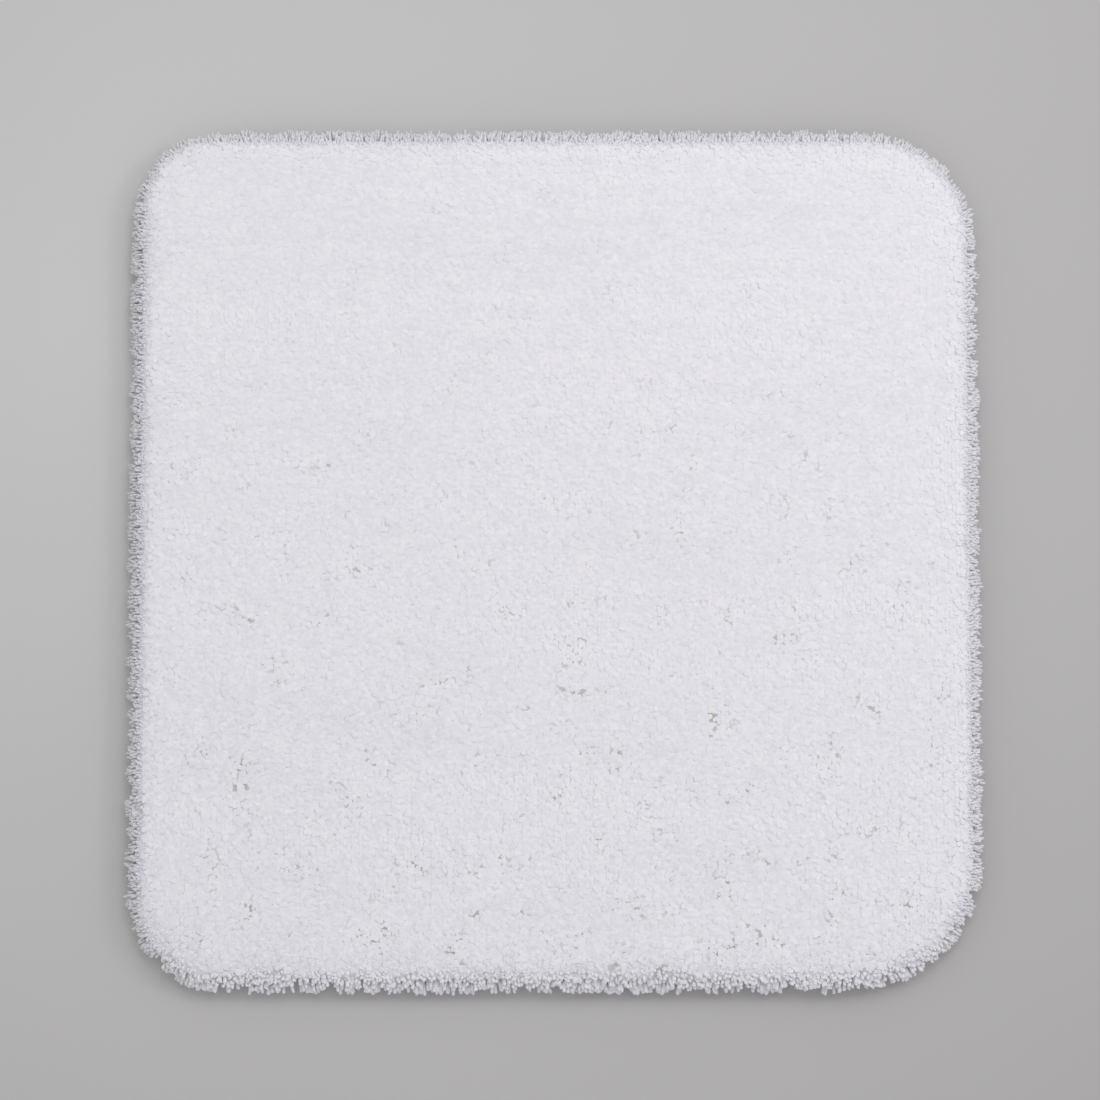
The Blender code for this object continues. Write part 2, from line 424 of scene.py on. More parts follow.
@dataclass(frozen=True)
class Outline:
    """The bound edge seen from above: a rectangle with each corner rounded a little differently."""

    width: float
    depth: float
    back_left: float = 50 * MM
    back_right: float = 70 * MM
    front_left: float = 60 * MM
    front_right: float = 84 * MM
    walk_steps: int = 24

    def radius_at(self, x: np.ndarray, y: np.ndarray) -> np.ndarray:
        """The corner radius of the quarter that each point lies in."""
        back = np.where(x < 0, self.back_left, self.back_right)
        front = np.where(x < 0, self.front_left, self.front_right)
        return np.where(y > 0, back, front)

    def inset_and_normal(self, x: np.ndarray, y: np.ndarray) -> tuple[np.ndarray, np.ndarray]:
        """How far points lie inside the edge, and which way is straight out to it.

        Args:
            x: The points' X.
            y: The points' Y.

        Returns:
            The distance to the edge, positive inside, and unit vectors of shape (points, 2).
        """
        radius = self.radius_at(x, y)
        past = np.stack([np.abs(x) - self.width / 2 + radius, np.abs(y) - self.depth / 2 + radius], axis=1)
        reach = np.maximum(past, 0.0)
        length = np.hypot(reach[:, 0], reach[:, 1])
        inset = radius - length - np.minimum(past.max(axis=1), 0.0)
        nearest_side = np.eye(2)[past.argmax(axis=1)]
        outward = np.where(length[:, None] > 0, reach / np.maximum(length, TINY)[:, None], nearest_side)
        return inset, outward * np.sign(np.stack([x, y], axis=1))

    def corner_points(self, steps: int) -> list[tuple[float, float]]:
        """Points round the edge, with this many steps in each corner's arc."""
        corners = (
            (1, 1, self.back_right, 0.0),
            (-1, 1, self.back_left, 90.0),
            (-1, -1, self.front_left, 180.0),
            (1, -1, self.front_right, 270.0),
        )
        points = []
        for side_x, side_y, radius, start in corners:
            centre = (side_x * (self.width / 2 - radius), side_y * (self.depth / 2 - radius))
            for step in range(steps + 1):
                angle = math.radians(start + 90.0 * step / steps)
                points.append((centre[0] + radius * math.cos(angle), centre[1] + radius * math.sin(angle)))
        return points

    def walk(self, inset: float, spacing: float) -> tuple[np.ndarray, np.ndarray, float]:
        """Evenly spaced places along the edge set in by inset.

        Args:
            inset: How far inside the edge the walk runs.
            spacing: The wanted distance between places.

        Returns:
            Points and outward unit vectors, both of shape (places, 2), and the true spacing.
        """
        points = np.array(self.corner_points(self.walk_steps))
        _, normals = self.inset_and_normal(points[:, 0], points[:, 1])
        points = points - normals * inset
        points = np.vstack([points, points[:1]])
        steps = np.hypot(*np.diff(points, axis=0).T)
        travelled = np.concatenate([[0.0], np.cumsum(steps)])
        count = max(3, round(travelled[-1] / spacing))
        wanted = travelled[-1] * np.arange(count) / count
        found = np.stack([np.interp(wanted, travelled, points[:, axis]) for axis in (0, 1)], axis=1)
        _, outward = self.inset_and_normal(found[:, 0], found[:, 1])
        return found, outward, travelled[-1] / count

    def area(self, inset: float) -> float:
        """The area inside the edge set in by inset."""
        radii = (self.back_left, self.back_right, self.front_left, self.front_right)
        corners = sum((1.0 - math.pi / 4.0) * (radius - inset) ** 2 for radius in radii)
        return (self.width - 2 * inset) * (self.depth - 2 * inset) - corners


# ---------------------------------------------------------------------------------------------------------
# Mesh work
# ---------------------------------------------------------------------------------------------------------


def deselect_all() -> None:
    """Leaves no object selected."""
    for other in bpy.context.selected_objects:
        other.select_set(False)


def select_only(thing: bpy.types.Object) -> None:
    """Makes one object the selected, active one."""
    deselect_all()
    thing.select_set(True)
    bpy.context.view_layer.objects.active = thing


def start_from(add: Callable[..., object], name: str, **settings: object) -> bpy.types.Object:
    """Adds a primitive by its operator.

    Args:
        add: The operator that adds it.
        name: The new object's name.
        settings: What the operator is given.

    Returns:
        The new object, alone selected, in object mode.
    """
    deselect_all()
    add(**settings)
    thing = bpy.context.active_object
    thing.name = name
    thing.data.name = name
    return thing


def pick(thing: bpy.types.Object, wanted: Callable[[Vector], bool], mode: str = "VERT") -> None:
    """Selects, in edit mode, what lies where it is wanted.

    Args:
        thing: The object in edit mode.
        wanted: Says yes or no to a vertex's place or a face's middle.
        mode: VERT or FACE.
    """
    bpy.ops.mesh.select_mode(type=mode)
    bpy.ops.mesh.select_all(action="DESELECT")
    shape = bmesh.from_edit_mesh(thing.data)
    if mode == "FACE":
        for item in shape.faces:
            item.select_set(wanted(item.calc_center_median()))
    else:
        for item in shape.verts:
            item.select_set(wanted(item.co))
    shape.select_flush_mode()
    bmesh.update_edit_mesh(thing.data)


def extrude(way: Sequence[float]) -> None:
    """Extrudes the selection, in edit mode, and moves the new part."""
    bpy.ops.mesh.extrude_region_move(TRANSFORM_OT_translate={"value": tuple(way)})


def close_shape() -> None:
    """Turns every face outwards and leaves edit mode."""
    bpy.ops.mesh.select_all(action="SELECT")
    bpy.ops.mesh.normals_make_consistent(inside=False)
    bpy.ops.object.mode_set(mode="OBJECT")


def settle(thing: bpy.types.Object) -> None:
    """Puts the object's place, turn and size into its mesh."""
    select_only(thing)
    bpy.ops.object.transform_apply(location=True, rotation=True, scale=True)


def finish_piece(thing: bpy.types.Object, material: bpy.types.Material) -> bpy.types.Object:
    """Gives a piece its finish and ties it to the mat's one body."""
    thing.data.materials.clear()
    thing.data.materials.append(material)
    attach(thing, ROOT_BODY)
    return thing


def in_quarter(side_x: int, side_y: int) -> Callable[[Vector], bool]:
    """A test for what lies in one quarter of the mat."""
    return lambda at: at.x * side_x > 0 and at.y * side_y > 0


def round_corners(thing: bpy.types.Object, outline: "Outline", inset: float, steps: int = 16) -> None:
    """Cuts a rectangle's four corners round, in edit mode.

    Args:
        thing: The rectangle.
        outline: The bound edge, which has each corner's radius.
        inset: How far inside the bound edge the rectangle lies.
        steps: How many straight steps each corner has.
    """
    corners = (
        (-1, 1, outline.back_left),
        (1, 1, outline.back_right),
        (-1, -1, outline.front_left),
        (1, -1, outline.front_right),
    )
    for side_x, side_y, radius in corners:
        pick(thing, in_quarter(side_x, side_y))
        bpy.ops.mesh.bevel(affect="VERTICES", offset_type="ABSOLUTE", offset=radius - inset, segments=steps)


@dataclass
class Template:
    """A modelled shape as arrays, ready to be copied many times.

    The baking map has three bands: faces that look down lie flat in the low one, faces that look up lie flat
    in the high one, and the rest are unrolled by angle and height in the one between.
    """

    LEVEL_SLOPE = 0.8
    LOW_BAND = 0.16
    HIGH_BAND = 0.84
    BAND_HALF = 0.14
    SIDES_FROM = 0.32
    SIDES_SPAN = 0.36
    FULL_TURN = 2.4 * math.pi

    points: np.ndarray
    corners: np.ndarray
    sizes: np.ndarray
    chart: np.ndarray
    smooth: np.ndarray

    @classmethod
    def take(cls, thing: bpy.types.Object) -> "Template":
        """Reads a modelled object and removes it.

        Args:
            thing: The modelled object, upright on the origin.

        Returns:
            The shape's template.
        """
        mesh = thing.data
        points = np.empty(len(mesh.vertices) * 3)
        mesh.vertices.foreach_get("co", points)
        points = points.reshape(-1, 3)
        corners = np.empty(len(mesh.loops), dtype=np.int64)
        mesh.loops.foreach_get("vertex_index", corners)
        sizes = np.empty(len(mesh.polygons), dtype=np.int64)
        mesh.polygons.foreach_get("loop_total", sizes)
        smooth = np.empty(len(mesh.polygons), dtype=bool)
        mesh.polygons.foreach_get("use_smooth", smooth)
        chart = cls._lay_out(points, corners, sizes)
        bpy.data.objects.remove(thing, do_unlink=True)
        return cls(points, corners, sizes, chart, smooth)

    @staticmethod
    def _lay_out(points: np.ndarray, corners: np.ndarray, sizes: np.ndarray) -> np.ndarray:
        """Unrolls the faces in three bands: undersides, sides by angle and height, and tops.

        Args:
            points: The points.
            corners: Each face corner's point.
            sizes: Each face's number of corners.

        Returns:
            Each corner's place in the unit square.
        """
        owner = np.repeat(np.arange(len(sizes)), sizes)
        at = points[corners]
        starts = np.cumsum(sizes) - sizes
        facing = np.cross(at[starts + 1] - at[starts], at[starts + 2] - at[starts])
        slope = (facing[:, 2] / np.maximum(np.linalg.norm(facing, axis=1), TINY**2))[owner]
        middle = np.stack([np.bincount(owner, at[:, axis]) / sizes for axis in range(3)], axis=1)[owner]
        turn = np.arctan2(at[:, 1], at[:, 0])
        centre = np.arctan2(middle[:, 1], middle[:, 0])
        on_axis = np.hypot(at[:, 0], at[:, 1]) < ON_AXIS
        turn = np.where(on_axis, centre, centre + (turn - centre + math.pi) % (2 * math.pi) - math.pi)
        height = (at[:, 2] - points[:, 2].min()) / max(np.ptp(points[:, 2]), TINY)
        reach = max(np.abs(points[:, :2]).max(), TINY)
        level = np.abs(slope) > Template.LEVEL_SLOPE
        across = np.where(level, 0.5 + 0.48 * at[:, 0] / reach, turn / Template.FULL_TURN + 0.5)
        lid = np.where(slope > 0.0, Template.HIGH_BAND, Template.LOW_BAND)
        lid = lid + Template.BAND_HALF * at[:, 1] / reach
        up = np.where(level, lid, Template.SIDES_FROM + Template.SIDES_SPAN * height)
        return np.clip(np.stack([across, up], axis=1), 0.0, 1.0)


Planting = tuple[Template, np.ndarray, dict[str, np.ndarray]]


def grow_mesh(name: str, plantings: Sequence[Planting]) -> bpy.types.Object:
    """Joins many copies of templates into one mesh, each with its own patch of the baking map.

    Args:
        name: The new object's name.
        plantings: For each template, its copies' points of shape (copies, points, 3), and numbers to store
            on the mesh by name, of shape (copies, points).

    Returns:
        The new object.
    """
    copies = sum(len(points) for _, points, _ in plantings)
    across = math.ceil(math.sqrt(copies))
    points, corners, sizes, chart, smooth = [], [], [], [], []
    stored: dict[str, list[np.ndarray]] = {}
    first_point = 0
    first_copy = 0
    for template, placed, numbers in plantings:
        count = len(placed)
        each = len(template.points)
        offsets = first_point + each * np.arange(count)
        points.append(placed.reshape(-1, 3))
        corners.append((offsets[:, None] + template.corners[None, :]).ravel())
        sizes.append(np.tile(template.sizes, count))
        smooth.append(np.tile(template.smooth, count))
        order = first_copy + np.arange(count)
        cells = np.stack([order % across, order // across], axis=1)[:, None, :]
        inside = CELL_MARGIN + (1.0 - 2 * CELL_MARGIN) * template.chart[None, :, :]
        chart.append(((cells + inside) / across).reshape(-1, 2))
        for key, values in numbers.items():
            stored.setdefault(key, []).append(values.ravel())
        first_point += each * count
        first_copy += count
    mesh = bpy.data.meshes.new(name)
    all_points = np.concatenate(points)
    all_corners = np.concatenate(corners)
    all_sizes = np.concatenate(sizes)
    mesh.vertices.add(len(all_points))
    mesh.vertices.foreach_set("co", all_points.astype(np.float32).ravel())
    mesh.loops.add(len(all_corners))
    mesh.loops.foreach_set("vertex_index", all_corners.astype(np.int32))
    mesh.polygons.add(len(all_sizes))
    mesh.polygons.foreach_set("loop_start", (np.cumsum(all_sizes) - all_sizes).astype(np.int32))
    mesh.update(calc_edges=True)
    for key, values in stored.items():
        numbers = np.concatenate(values).astype(np.float32)
        mesh.attributes.new(key, "FLOAT", "POINT").data.foreach_set("value", numbers)
    layer = mesh.uv_layers.new(name=BAKE_MAP)
    layer.data.foreach_set("uv", np.concatenate(chart).astype(np.float32).ravel())
    mesh.polygons.foreach_set("use_smooth", np.concatenate(smooth))
    thing = bpy.data.objects.new(name, mesh)
    bpy.context.scene.collection.objects.link(thing)
    return thing


@dataclass
class SmoothField:
    """A smooth random value over the mat, made of a few long waves."""

    seed: int
    longest: float
    shortest: float
    stretch: float = 1.0
    waves: int = 24

    def at(self, x: np.ndarray, y: np.ndarray) -> np.ndarray:
        """The value at each point, about -1 to 1.

        Args:
            x: The points' X. The field changes more slowly along it where stretch is over 1.
            y: The points' Y.

        Returns:
            One value for each point.
        """
        rng = np.random.default_rng(self.seed)
        lengths = np.exp(rng.uniform(math.log(self.shortest), math.log(self.longest), self.waves))
        turns = rng.uniform(0.0, 2 * math.pi, self.waves)
        phases = rng.uniform(0.0, 2 * math.pi, self.waves)
        total = np.zeros(len(x))
        for length, turn, phase in zip(lengths, turns, phases):
            pace = 2 * math.pi / length
            total += np.cos(pace * (math.cos(turn) * x / self.stretch + math.sin(turn) * y) + phase)
        return total * math.sqrt(2.0 / self.waves) / 2.0


# ---------------------------------------------------------------------------------------------------------
# The pile
# ---------------------------------------------------------------------------------------------------------


@dataclass(frozen=True)
class TuftShape:
    """One cut yarn end, upright and one long, gathered at its root and opened into plies at its tip.

    Its rings are pairs of height and girth. Above TIP_FROM it is cut at a slant.
    """

    TIP_FROM = 0.8

    sides: int = 5
    rings: tuple[tuple[float, float], ...] = ((0.68, 0.84), (0.940, 1.00), (0.993, 0.96))
    dip: float = 0.004
    ply_depth: float = 0.16
    twist: float = 0.5
    tip_slope: float = 0.005
    flat_tip: bool = True

    def model(self) -> Template:
        """Models it: a cone on its point, extruded ring by ring, closed at the tip and twisted."""
        first_level, first_girth = self.rings[0]
        thing = start_from(
            bpy.ops.mesh.primitive_cone_add,
            "tuft",
            vertices=self.sides,
            radius1=0.0,
            radius2=first_girth,
            depth=first_level,
            location=(0.0, 0.0, first_level / 2),
        )
        settle(thing)
        bpy.ops.object.mode_set(mode="EDIT")
        pick(thing, lambda at: at.z > first_level * 0.99, "FACE")
        for (level, girth), (next_level, next_girth) in zip(self.rings, self.rings[1:]):
            extrude((0.0, 0.0, next_level - level))
            grow = next_girth / girth
            bpy.ops.transform.resize(value=(grow, grow, 1.0), center_override=(0.0, 0.0, next_level))
        bpy.ops.mesh.poke(offset=self.dip)
        bpy.ops.mesh.select_all(action="SELECT")
        bpy.ops.mesh.faces_shade_smooth()
        if self.flat_tip:
            tip = self.rings[-1][0] - 1e-4
            pick(thing, lambda at: at.z > tip, "FACE")
            bpy.ops.mesh.faces_shade_flat()
        bpy.ops.object.mode_set(mode="OBJECT")
        self._open_plies(thing)
        return Template.take(thing)

    def _open_plies(self, thing: bpy.types.Object) -> None:
        """Draws some of the edges in between the plies, twists the yarn and cuts its tip at a slant."""
        for vertex in thing.data.vertices:
            x, y, z = vertex.co
            reach = math.hypot(x, y)
            if reach < ON_AXIS:
                continue
            angle = math.atan2(y, x)
            reach *= 1.0 - self.ply_depth * (0.5 + 0.5 * math.cos(angle * 2.0))
            slant = self.tip_slope * math.cos(angle) if z > self.TIP_FROM else 0.0
            angle += self.twist * z
            vertex.co = (reach * math.cos(angle), reach * math.sin(angle), z + slant)


class TuftKind(Enum):
    """The kinds of yarn end, each with the shapes that are mixed in it."""

    FIELD = (TuftShape(), TuftShape(ply_depth=0.26, twist=-0.7))
    FINE = (
        TuftShape(
            sides=4, rings=((0.45, 0.80), (0.85, 1.04), (0.97, 0.80)),
            dip=0.02, ply_depth=0.1, twist=0.9, tip_slope=0.02, flat_tip=False,
        ),
        TuftShape(
            sides=4, rings=((0.50, 0.85), (0.85, 1.00), (0.98, 0.75)),
            dip=0.02, ply_depth=0.3, twist=-1.0, tip_slope=0.02, flat_tip=False,
        ),
    )
    PLUMP = (
        TuftShape(
            rings=((0.40, 0.72), (0.70, 0.95), (0.93, 1.06), (0.98, 0.80)),
            dip=0.015, ply_depth=0.16, twist=0.9, tip_slope=0.02, flat_tip=False,
        ),
        TuftShape(
            rings=((0.45, 0.78), (0.72, 1.0), (0.93, 1.02), (0.98, 0.75)),
            dip=0.015, ply_depth=0.3, twist=-1.0, tip_slope=0.02, flat_tip=False,
        ),
    )
    HAIR = (
        TuftShape(
            sides=3, rings=((0.40, 1.0), (0.70, 0.9), (0.96, 0.6)),
            dip=0.04, ply_depth=0.0, twist=0.0, tip_slope=0.0, flat_tip=False,
        ),
    )

    def model(self) -> list[Template]:
        """Models the kind's shapes."""
        return [shape.model() for shape in self.value]


@dataclass
class Tufts:
    """Where a set of yarn ends is rooted and how each one stands."""

    UNEVEN = 0.09
    EVEN_BELOW = 0.3
    LEAST_LEAN = 1e-3

    x: np.ndarray
    y: np.ndarray
    lean_x: np.ndarray
    lean_y: np.ndarray
    length: np.ndarray
    girth: np.ndarray
    tone: np.ndarray
    shear: np.ndarray
    low_bend: float = 0.3

    def part(self, chosen: np.ndarray) -> "Tufts":
        """The chosen ones alone."""
        names = ("x", "y", "lean_x", "lean_y", "length", "girth", "tone", "shear")
        return Tufts(*(getattr(self, name)[chosen] for name in names), low_bend=self.low_bend)

    def stand_under_tips(self) -> None:
        """Takes each place as the tip's and moves the root back from it, against the lean."""
        lean = np.maximum(np.hypot(self.lean_x, self.lean_y), self.LEAST_LEAN)
        start = lean * self.low_bend
        forward = self.length * (np.cos(start) - np.cos(start + lean)) / lean
        self.x = self.x - self.lean_x / lean * forward
        self.y = self.y - self.lean_y / lean * forward

    def place(self, template: Template, root_height: float, rng: np.random.Generator) -> np.ndarray:
        """Bends, turns and sets a copy of a yarn end at each root.

        A yarn end leans more and more along its length, and by its lean's size in all. Its tip is square to
        it where shear is 0, and cut level, as the pile's shears leave it, where shear is 1.

        Args:
            template: The yarn end.
            root_height: How high the roots are.
            rng: Where the turns and the unevenness come from.

        Returns:
            The copies' points, of shape (tufts, points, 3).
        """
        count = len(self.x)
        lean = np.maximum(np.hypot(self.lean_x, self.lean_y), self.LEAST_LEAN)[:, None]
        way_x = self.lean_x[:, None] / lean
        way_y = self.lean_y[:, None] / lean
        turn = rng.uniform(0.0, 2 * math.pi, count)[:, None]
        uneven = rng.normal(0.0, self.UNEVEN, (count, len(template.points), 2))
        uneven *= (template.points[:, 2] > self.EVEN_BELOW)[None, :, None]
        local_x = template.points[None, :, 0] + uneven[:, :, 0]
        local_y = template.points[None, :, 1] + uneven[:, :, 1]
        side = (local_x * np.cos(turn) - local_y * np.sin(turn)) * self.girth[:, None]
        across = (local_x * np.sin(turn) + local_y * np.cos(turn)) * self.girth[:, None]
        along = template.points[None, :, 2]
        start = lean * self.low_bend
        angle = start + lean * along
        length = self.length[:, None]
        forward = length * (np.cos(start) - np.cos(angle)) / lean + side * np.cos(angle)
        tilt = 1.0 - self.shear[:, None] * along**2
        upward = length * (np.sin(angle) - np.sin(start)) / lean - side * np.sin(angle) * tilt
        placed_x = self.x[:, None] + way_x * forward - way_y * across
        placed_y = self.y[:, None] + way_y * forward + way_x * across
        return np.stack([placed_x, placed_y, np.maximum(root_height + upward, FLOOR_GAP)], axis=2)


@dataclass(frozen=True)
class Corner:
    """How far back the tufts hold at one corner, from 0, as far out as elsewhere, to 1, not over the seam."""

    side_x: int
    side_y: int
    hold: float


@dataclass(frozen=True)
class SideHabit:
    """How much grey painted shade the outermost tufts of one side take, and what share of them strays
    outwards.
    """

    side: Side
    # grey is how much painted shade greys the side's outermost tufts.
    grey: float
    stray: float


class Drift(Enum):
    """Smooth random fields over the mat: seed step, longest and shortest wave in metres, and stretch."""

    BRUSHED = (1, 0.16, 0.035, 3.0)
    SWIRLED = (2, 0.25, 0.03, 1.6)
    CLUMPS = (3, 0.040, 0.007, 1.0)
    SIDEWAYS = (4, 0.025, 0.006, 1.0)
    SPARSE = (5, 0.06, 0.02, 1.0)
    STREAKS = (6, 0.022, 0.004, 3.5)
    MOTTLE = (7, 0.020, 0.004, 1.0)


@dataclass(frozen=True)
class LeanHabit:
    """How yarn ends lean, in radians: out over the seam at the edge, and as brushed in the field."""

    out: float = 1.15
    front: float = 0.28
    ragged: float = 0.20
    front_ragged: float = 0.40
    held: float = 0.16
    stray: float = 0.50
    stray_sizes: tuple[float, float] = (0.3, 1.0)
    stray_even: float = 0.4
    stray_clumped: float = 2.4
    stray_limits: tuple[float, float] = (0.05, 3.0)
    sideways: float = 0.30
    askew: float = 0.12
    brushed: float = 0.20
    swirled: float = 0.12
    droop: float = 0.16
    droop_from: float = 0.35
    unrest_back: float = 0.06
    unrest_front: float = 0.12
    unrest_edge: float = 0.07
    most: float = 1.65


@dataclass(frozen=True)
class CutHabit:
    """How long and how thick yarn ends are, as shares of the usual, and how level their tips are cut."""

    edge_trim: float = 0.18
    front_untrimmed: float = 0.8
    stray_untrimmed: float = 0.5
    uneven: float = 0.12
    mottled: float = 0.004
    back_short: float = 0.008
    lowest_share: float = 0.8
    clumped: float = 0.04
    girths: tuple[float, float] = (0.9, 1.1)
    back_opened: float = 0.04
    sparse_closed: float = 0.04
    sparse_from: float = 0.1
    sparse_back: float = 0.3
    sparse_front: float = 0.7
    shear_back: float = 0.75
    shear_front: float = 0.50


@dataclass(frozen=True)
class ToneHabit:
    """How bright yarn ends are, from 0 to 1, and how grey with painted shade, below 0, where they are
    outermost or stray.
    """

    middle: float = 0.5
    spread: float = 0.30
    brushed: float = 0.12
    patterned: float = 0.40
    painted_shade_reach: float = 8.0 * MM
    painted_shade_fade: float = 1.5
    painted_shade_stray: float = 0.8
    deepest_painted_shade: float = 0.6


@dataclass(frozen=True)
class HairHabit:
    """Single fibres that stand out of the edge. Pairs are the least and the most."""

    spacing: float = 0.50 * MM
    inset: float = 3 * MM
    scatter: float = 2.5
    out: tuple[float, float] = (0.55, 1.35)
    held_out: float = 0.45
    aside: float = 0.35
    lengths: tuple[float, float] = (0.70, 1.05)
    held_length: float = 0.25
    girth: float = 0.12 * MM
    girths: tuple[float, float] = (0.6, 1.4)
    # Tones below nought turn some single fibres grey: painted shade at the edge.
    tones: tuple[float, float] = (-0.6, 0.5)


@dataclass
class Ground:
    """Where yarn ends are rooted and what holds there, with one value for each yarn end.

    near fades from 1 at the outermost row to 0 in the field, and calm is the rest of it. forward is 1 where
    out means towards the front. down runs from 0 at the back to 1 at the front.
    """

    x: np.ndarray
    y: np.ndarray
    depth: np.ndarray
    outward: np.ndarray
    near: np.ndarray
    calm: np.ndarray
    forward: np.ndarray
    down: np.ndarray
    unrest: np.ndarray
    held: np.ndarray
    clumps: np.ndarray
    brushed: np.ndarray
    mottle: np.ndarray
    stray: np.ndarray


@dataclass
class Pile:
    """The cut pile: rows of yarn ends over the cloth, and denser rows that lean out over the seam."""

    outline: Outline
    root_height: float
    height: float
    seam_inner: float
    finish: YarnFinish = field(default_factory=YarnFinish)
    # The loose fibres' darker grey is painted shade in the gaps between the yarn ends.
    fibre_finish: YarnFinish = YarnFinish(name="loose_fibres", grey=(0.50, 0.50, 0.48), painted_gap_shade=0.52)
    lean: LeanHabit = field(default_factory=LeanHabit)
    cut: CutHabit = field(default_factory=CutHabit)
    tone: ToneHabit = field(default_factory=ToneHabit)
    hair: HairHabit = field(default_factory=HairHabit)
    gauge: float = 2.58 * MM
    wander: float = 0.28
    field_rim: float = 7.0 * MM
    girth: float = 2.34 * MM
    edge_girth: float = 1.05 * MM
    front_girth: float = 1.45 * MM
    edge_spacing: float = 1.65 * MM
    edge_rows: tuple[float, ...] = (0.5, 1.1, 1.8, 2.6, 3.5, 4.5, 5.6, 6.8, 8.2)
    edge_wander: float = 0.35
    front_thinned: float = 0.45
    thinned_reach: float = 4 * MM
    edge_fade: float = 7.5 * MM
    tip_edge: float = 1.5 * MM
    # The loose fibres take a lower tone and a little of the root colour: painted shade between the yarn ends.
    fibre_shade_tone: float = 0.15
    fibre_along: float = 0.8
    fibre_smooth_below: float = math.radians(50.0)
    strips: int = 8
    # Each side's grey is painted shade on its outermost yarn ends, more on some sides than on others.
    sides: tuple[SideHabit, ...] = (
        SideHabit(Side.RIGHT, grey=0.45, stray=0.15),
        SideHabit(Side.BACK, grey=0.80, stray=0.35),
        SideHabit(Side.LEFT, grey=1.00, stray=0.45),
        SideHabit(Side.FRONT, grey=0.10, stray=0.30),
    )
    corners: tuple[Corner, ...] = (
        Corner(-1, 1, 1.0),
        Corner(1, 1, 0.8),
        Corner(-1, -1, 0.5),
        Corner(1, -1, 1.0),
    )
    corner_reach: float = 75 * MM
    corner_fade: float = 1.7
    # Each ring of the loose fibres' surface: how far inside the bound edge and how high over the roots.
    fibre_profile: tuple[tuple[float, float], ...] = (
        (7.6 * MM, 0.5 * MM),
        (5.4 * MM, 3.0 * MM),
        (3.8 * MM, 5.5 * MM),
        (2.7 * MM, 8.3 * MM),
        (2.4 * MM, 10.8 * MM),
        (3.6 * MM, 13.2 * MM),
        (5.6 * MM, 15.0 * MM),
        (8.5 * MM, 16.4 * MM),
        (13.0 * MM, 17.3 * MM),
        (19.0 * MM, 17.75 * MM),
        (28.0 * MM, 17.95 * MM),
    )
    seed: int = 20

    def field_tufts(self, rng: np.random.Generator) -> Tufts:
        """The upright pile. Its tips press each other into even, staggered rows, whichever way they lean."""
        columns = np.arange(-self.outline.width / 2, self.outline.width / 2, self.gauge)
        rows = np.arange(-self.outline.depth / 2, self.outline.depth / 2, self.gauge)
        grid_x, grid_y = np.meshgrid(columns, rows, indexing="ij")
        grid_y = grid_y + (np.arange(len(columns)) % 2)[:, None] * self.gauge / 2
        x = grid_x.ravel() + rng.uniform(-self.wander, self.wander, grid_x.size) * self.gauge
        y = grid_y.ravel() + rng.uniform(-self.wander, self.wander, grid_x.size) * self.gauge
        inset, outward = self.outline.inset_and_normal(x, y)
        keep = inset > self.field_rim
        depth = inset[keep] - self.tip_edge
        ground = self._survey(x[keep], y[keep], depth, outward[keep], rng)
        tufts = self._stand(ground, np.full(keep.sum(), self.girth), rng)
        tufts.stand_under_tips()
        return tufts

    def edge_tufts(self, rng: np.random.Generator) -> Tufts:
        """The rows beside the seam, which fan outwards."""
        rings = []
        for row in self.edge_rows:
            points, _, spacing = self.outline.walk(self.seam_inner + row * MM, self.edge_spacing)
            rings.append(points + rng.uniform(-self.edge_wander, self.edge_wander, points.shape) * spacing)
        points = np.concatenate(rings)
        inset, outward = self.outline.inset_and_normal(points[:, 0], points[:, 1])
        forward = np.clip(-outward[:, 1], 0.0, 1.0)
        outer = inset < self.seam_inner + self.thinned_reach
        keep = rng.random(len(points)) > self.front_thinned * forward * outer
        points, inset, outward, forward = points[keep], inset[keep], outward[keep], forward[keep]
        girth = self.edge_girth + (self.front_girth - self.edge_girth) * forward
        ground = self._survey(points[:, 0], points[:, 1], inset - self.seam_inner, outward, rng)
        return self._stand(ground, girth, rng)

    def hairs(self, rng: np.random.Generator) -> Tufts:
        """Single fibres that stand out of the edge and soften it."""
        hair = self.hair
        points, outward, _ = self.outline.walk(self.seam_inner + hair.inset, hair.spacing)
        count = len(points)
        points = points + outward * rng.uniform(-hair.scatter, hair.scatter, count)[:, None] * MM
        held = self._held_back(points[:, 0], points[:, 1])
        out = rng.uniform(*hair.out, count) * (1.0 - hair.held_out * held)
        aside = rng.normal(0.0, hair.aside, count)
        lean_x = out * outward[:, 0] - aside * outward[:, 1]
        lean_y = out * outward[:, 1] + aside * outward[:, 0]
        length = self.height * rng.uniform(*hair.lengths, count) * (1.0 - hair.held_length * held)
        girth = hair.girth * rng.uniform(*hair.girths, count)
        tone = rng.uniform(*hair.tones, count)
        return Tufts(points[:, 0], points[:, 1], lean_x, lean_y, length, girth, tone, np.zeros(count))

    def _drift(self, drift: Drift, x: np.ndarray, y: np.ndarray) -> np.ndarray:
        """One of the smooth random fields at each point."""
        step, longest, shortest, stretch = drift.value
        return SmoothField(self.seed + step, longest, shortest, stretch).at(x, y)

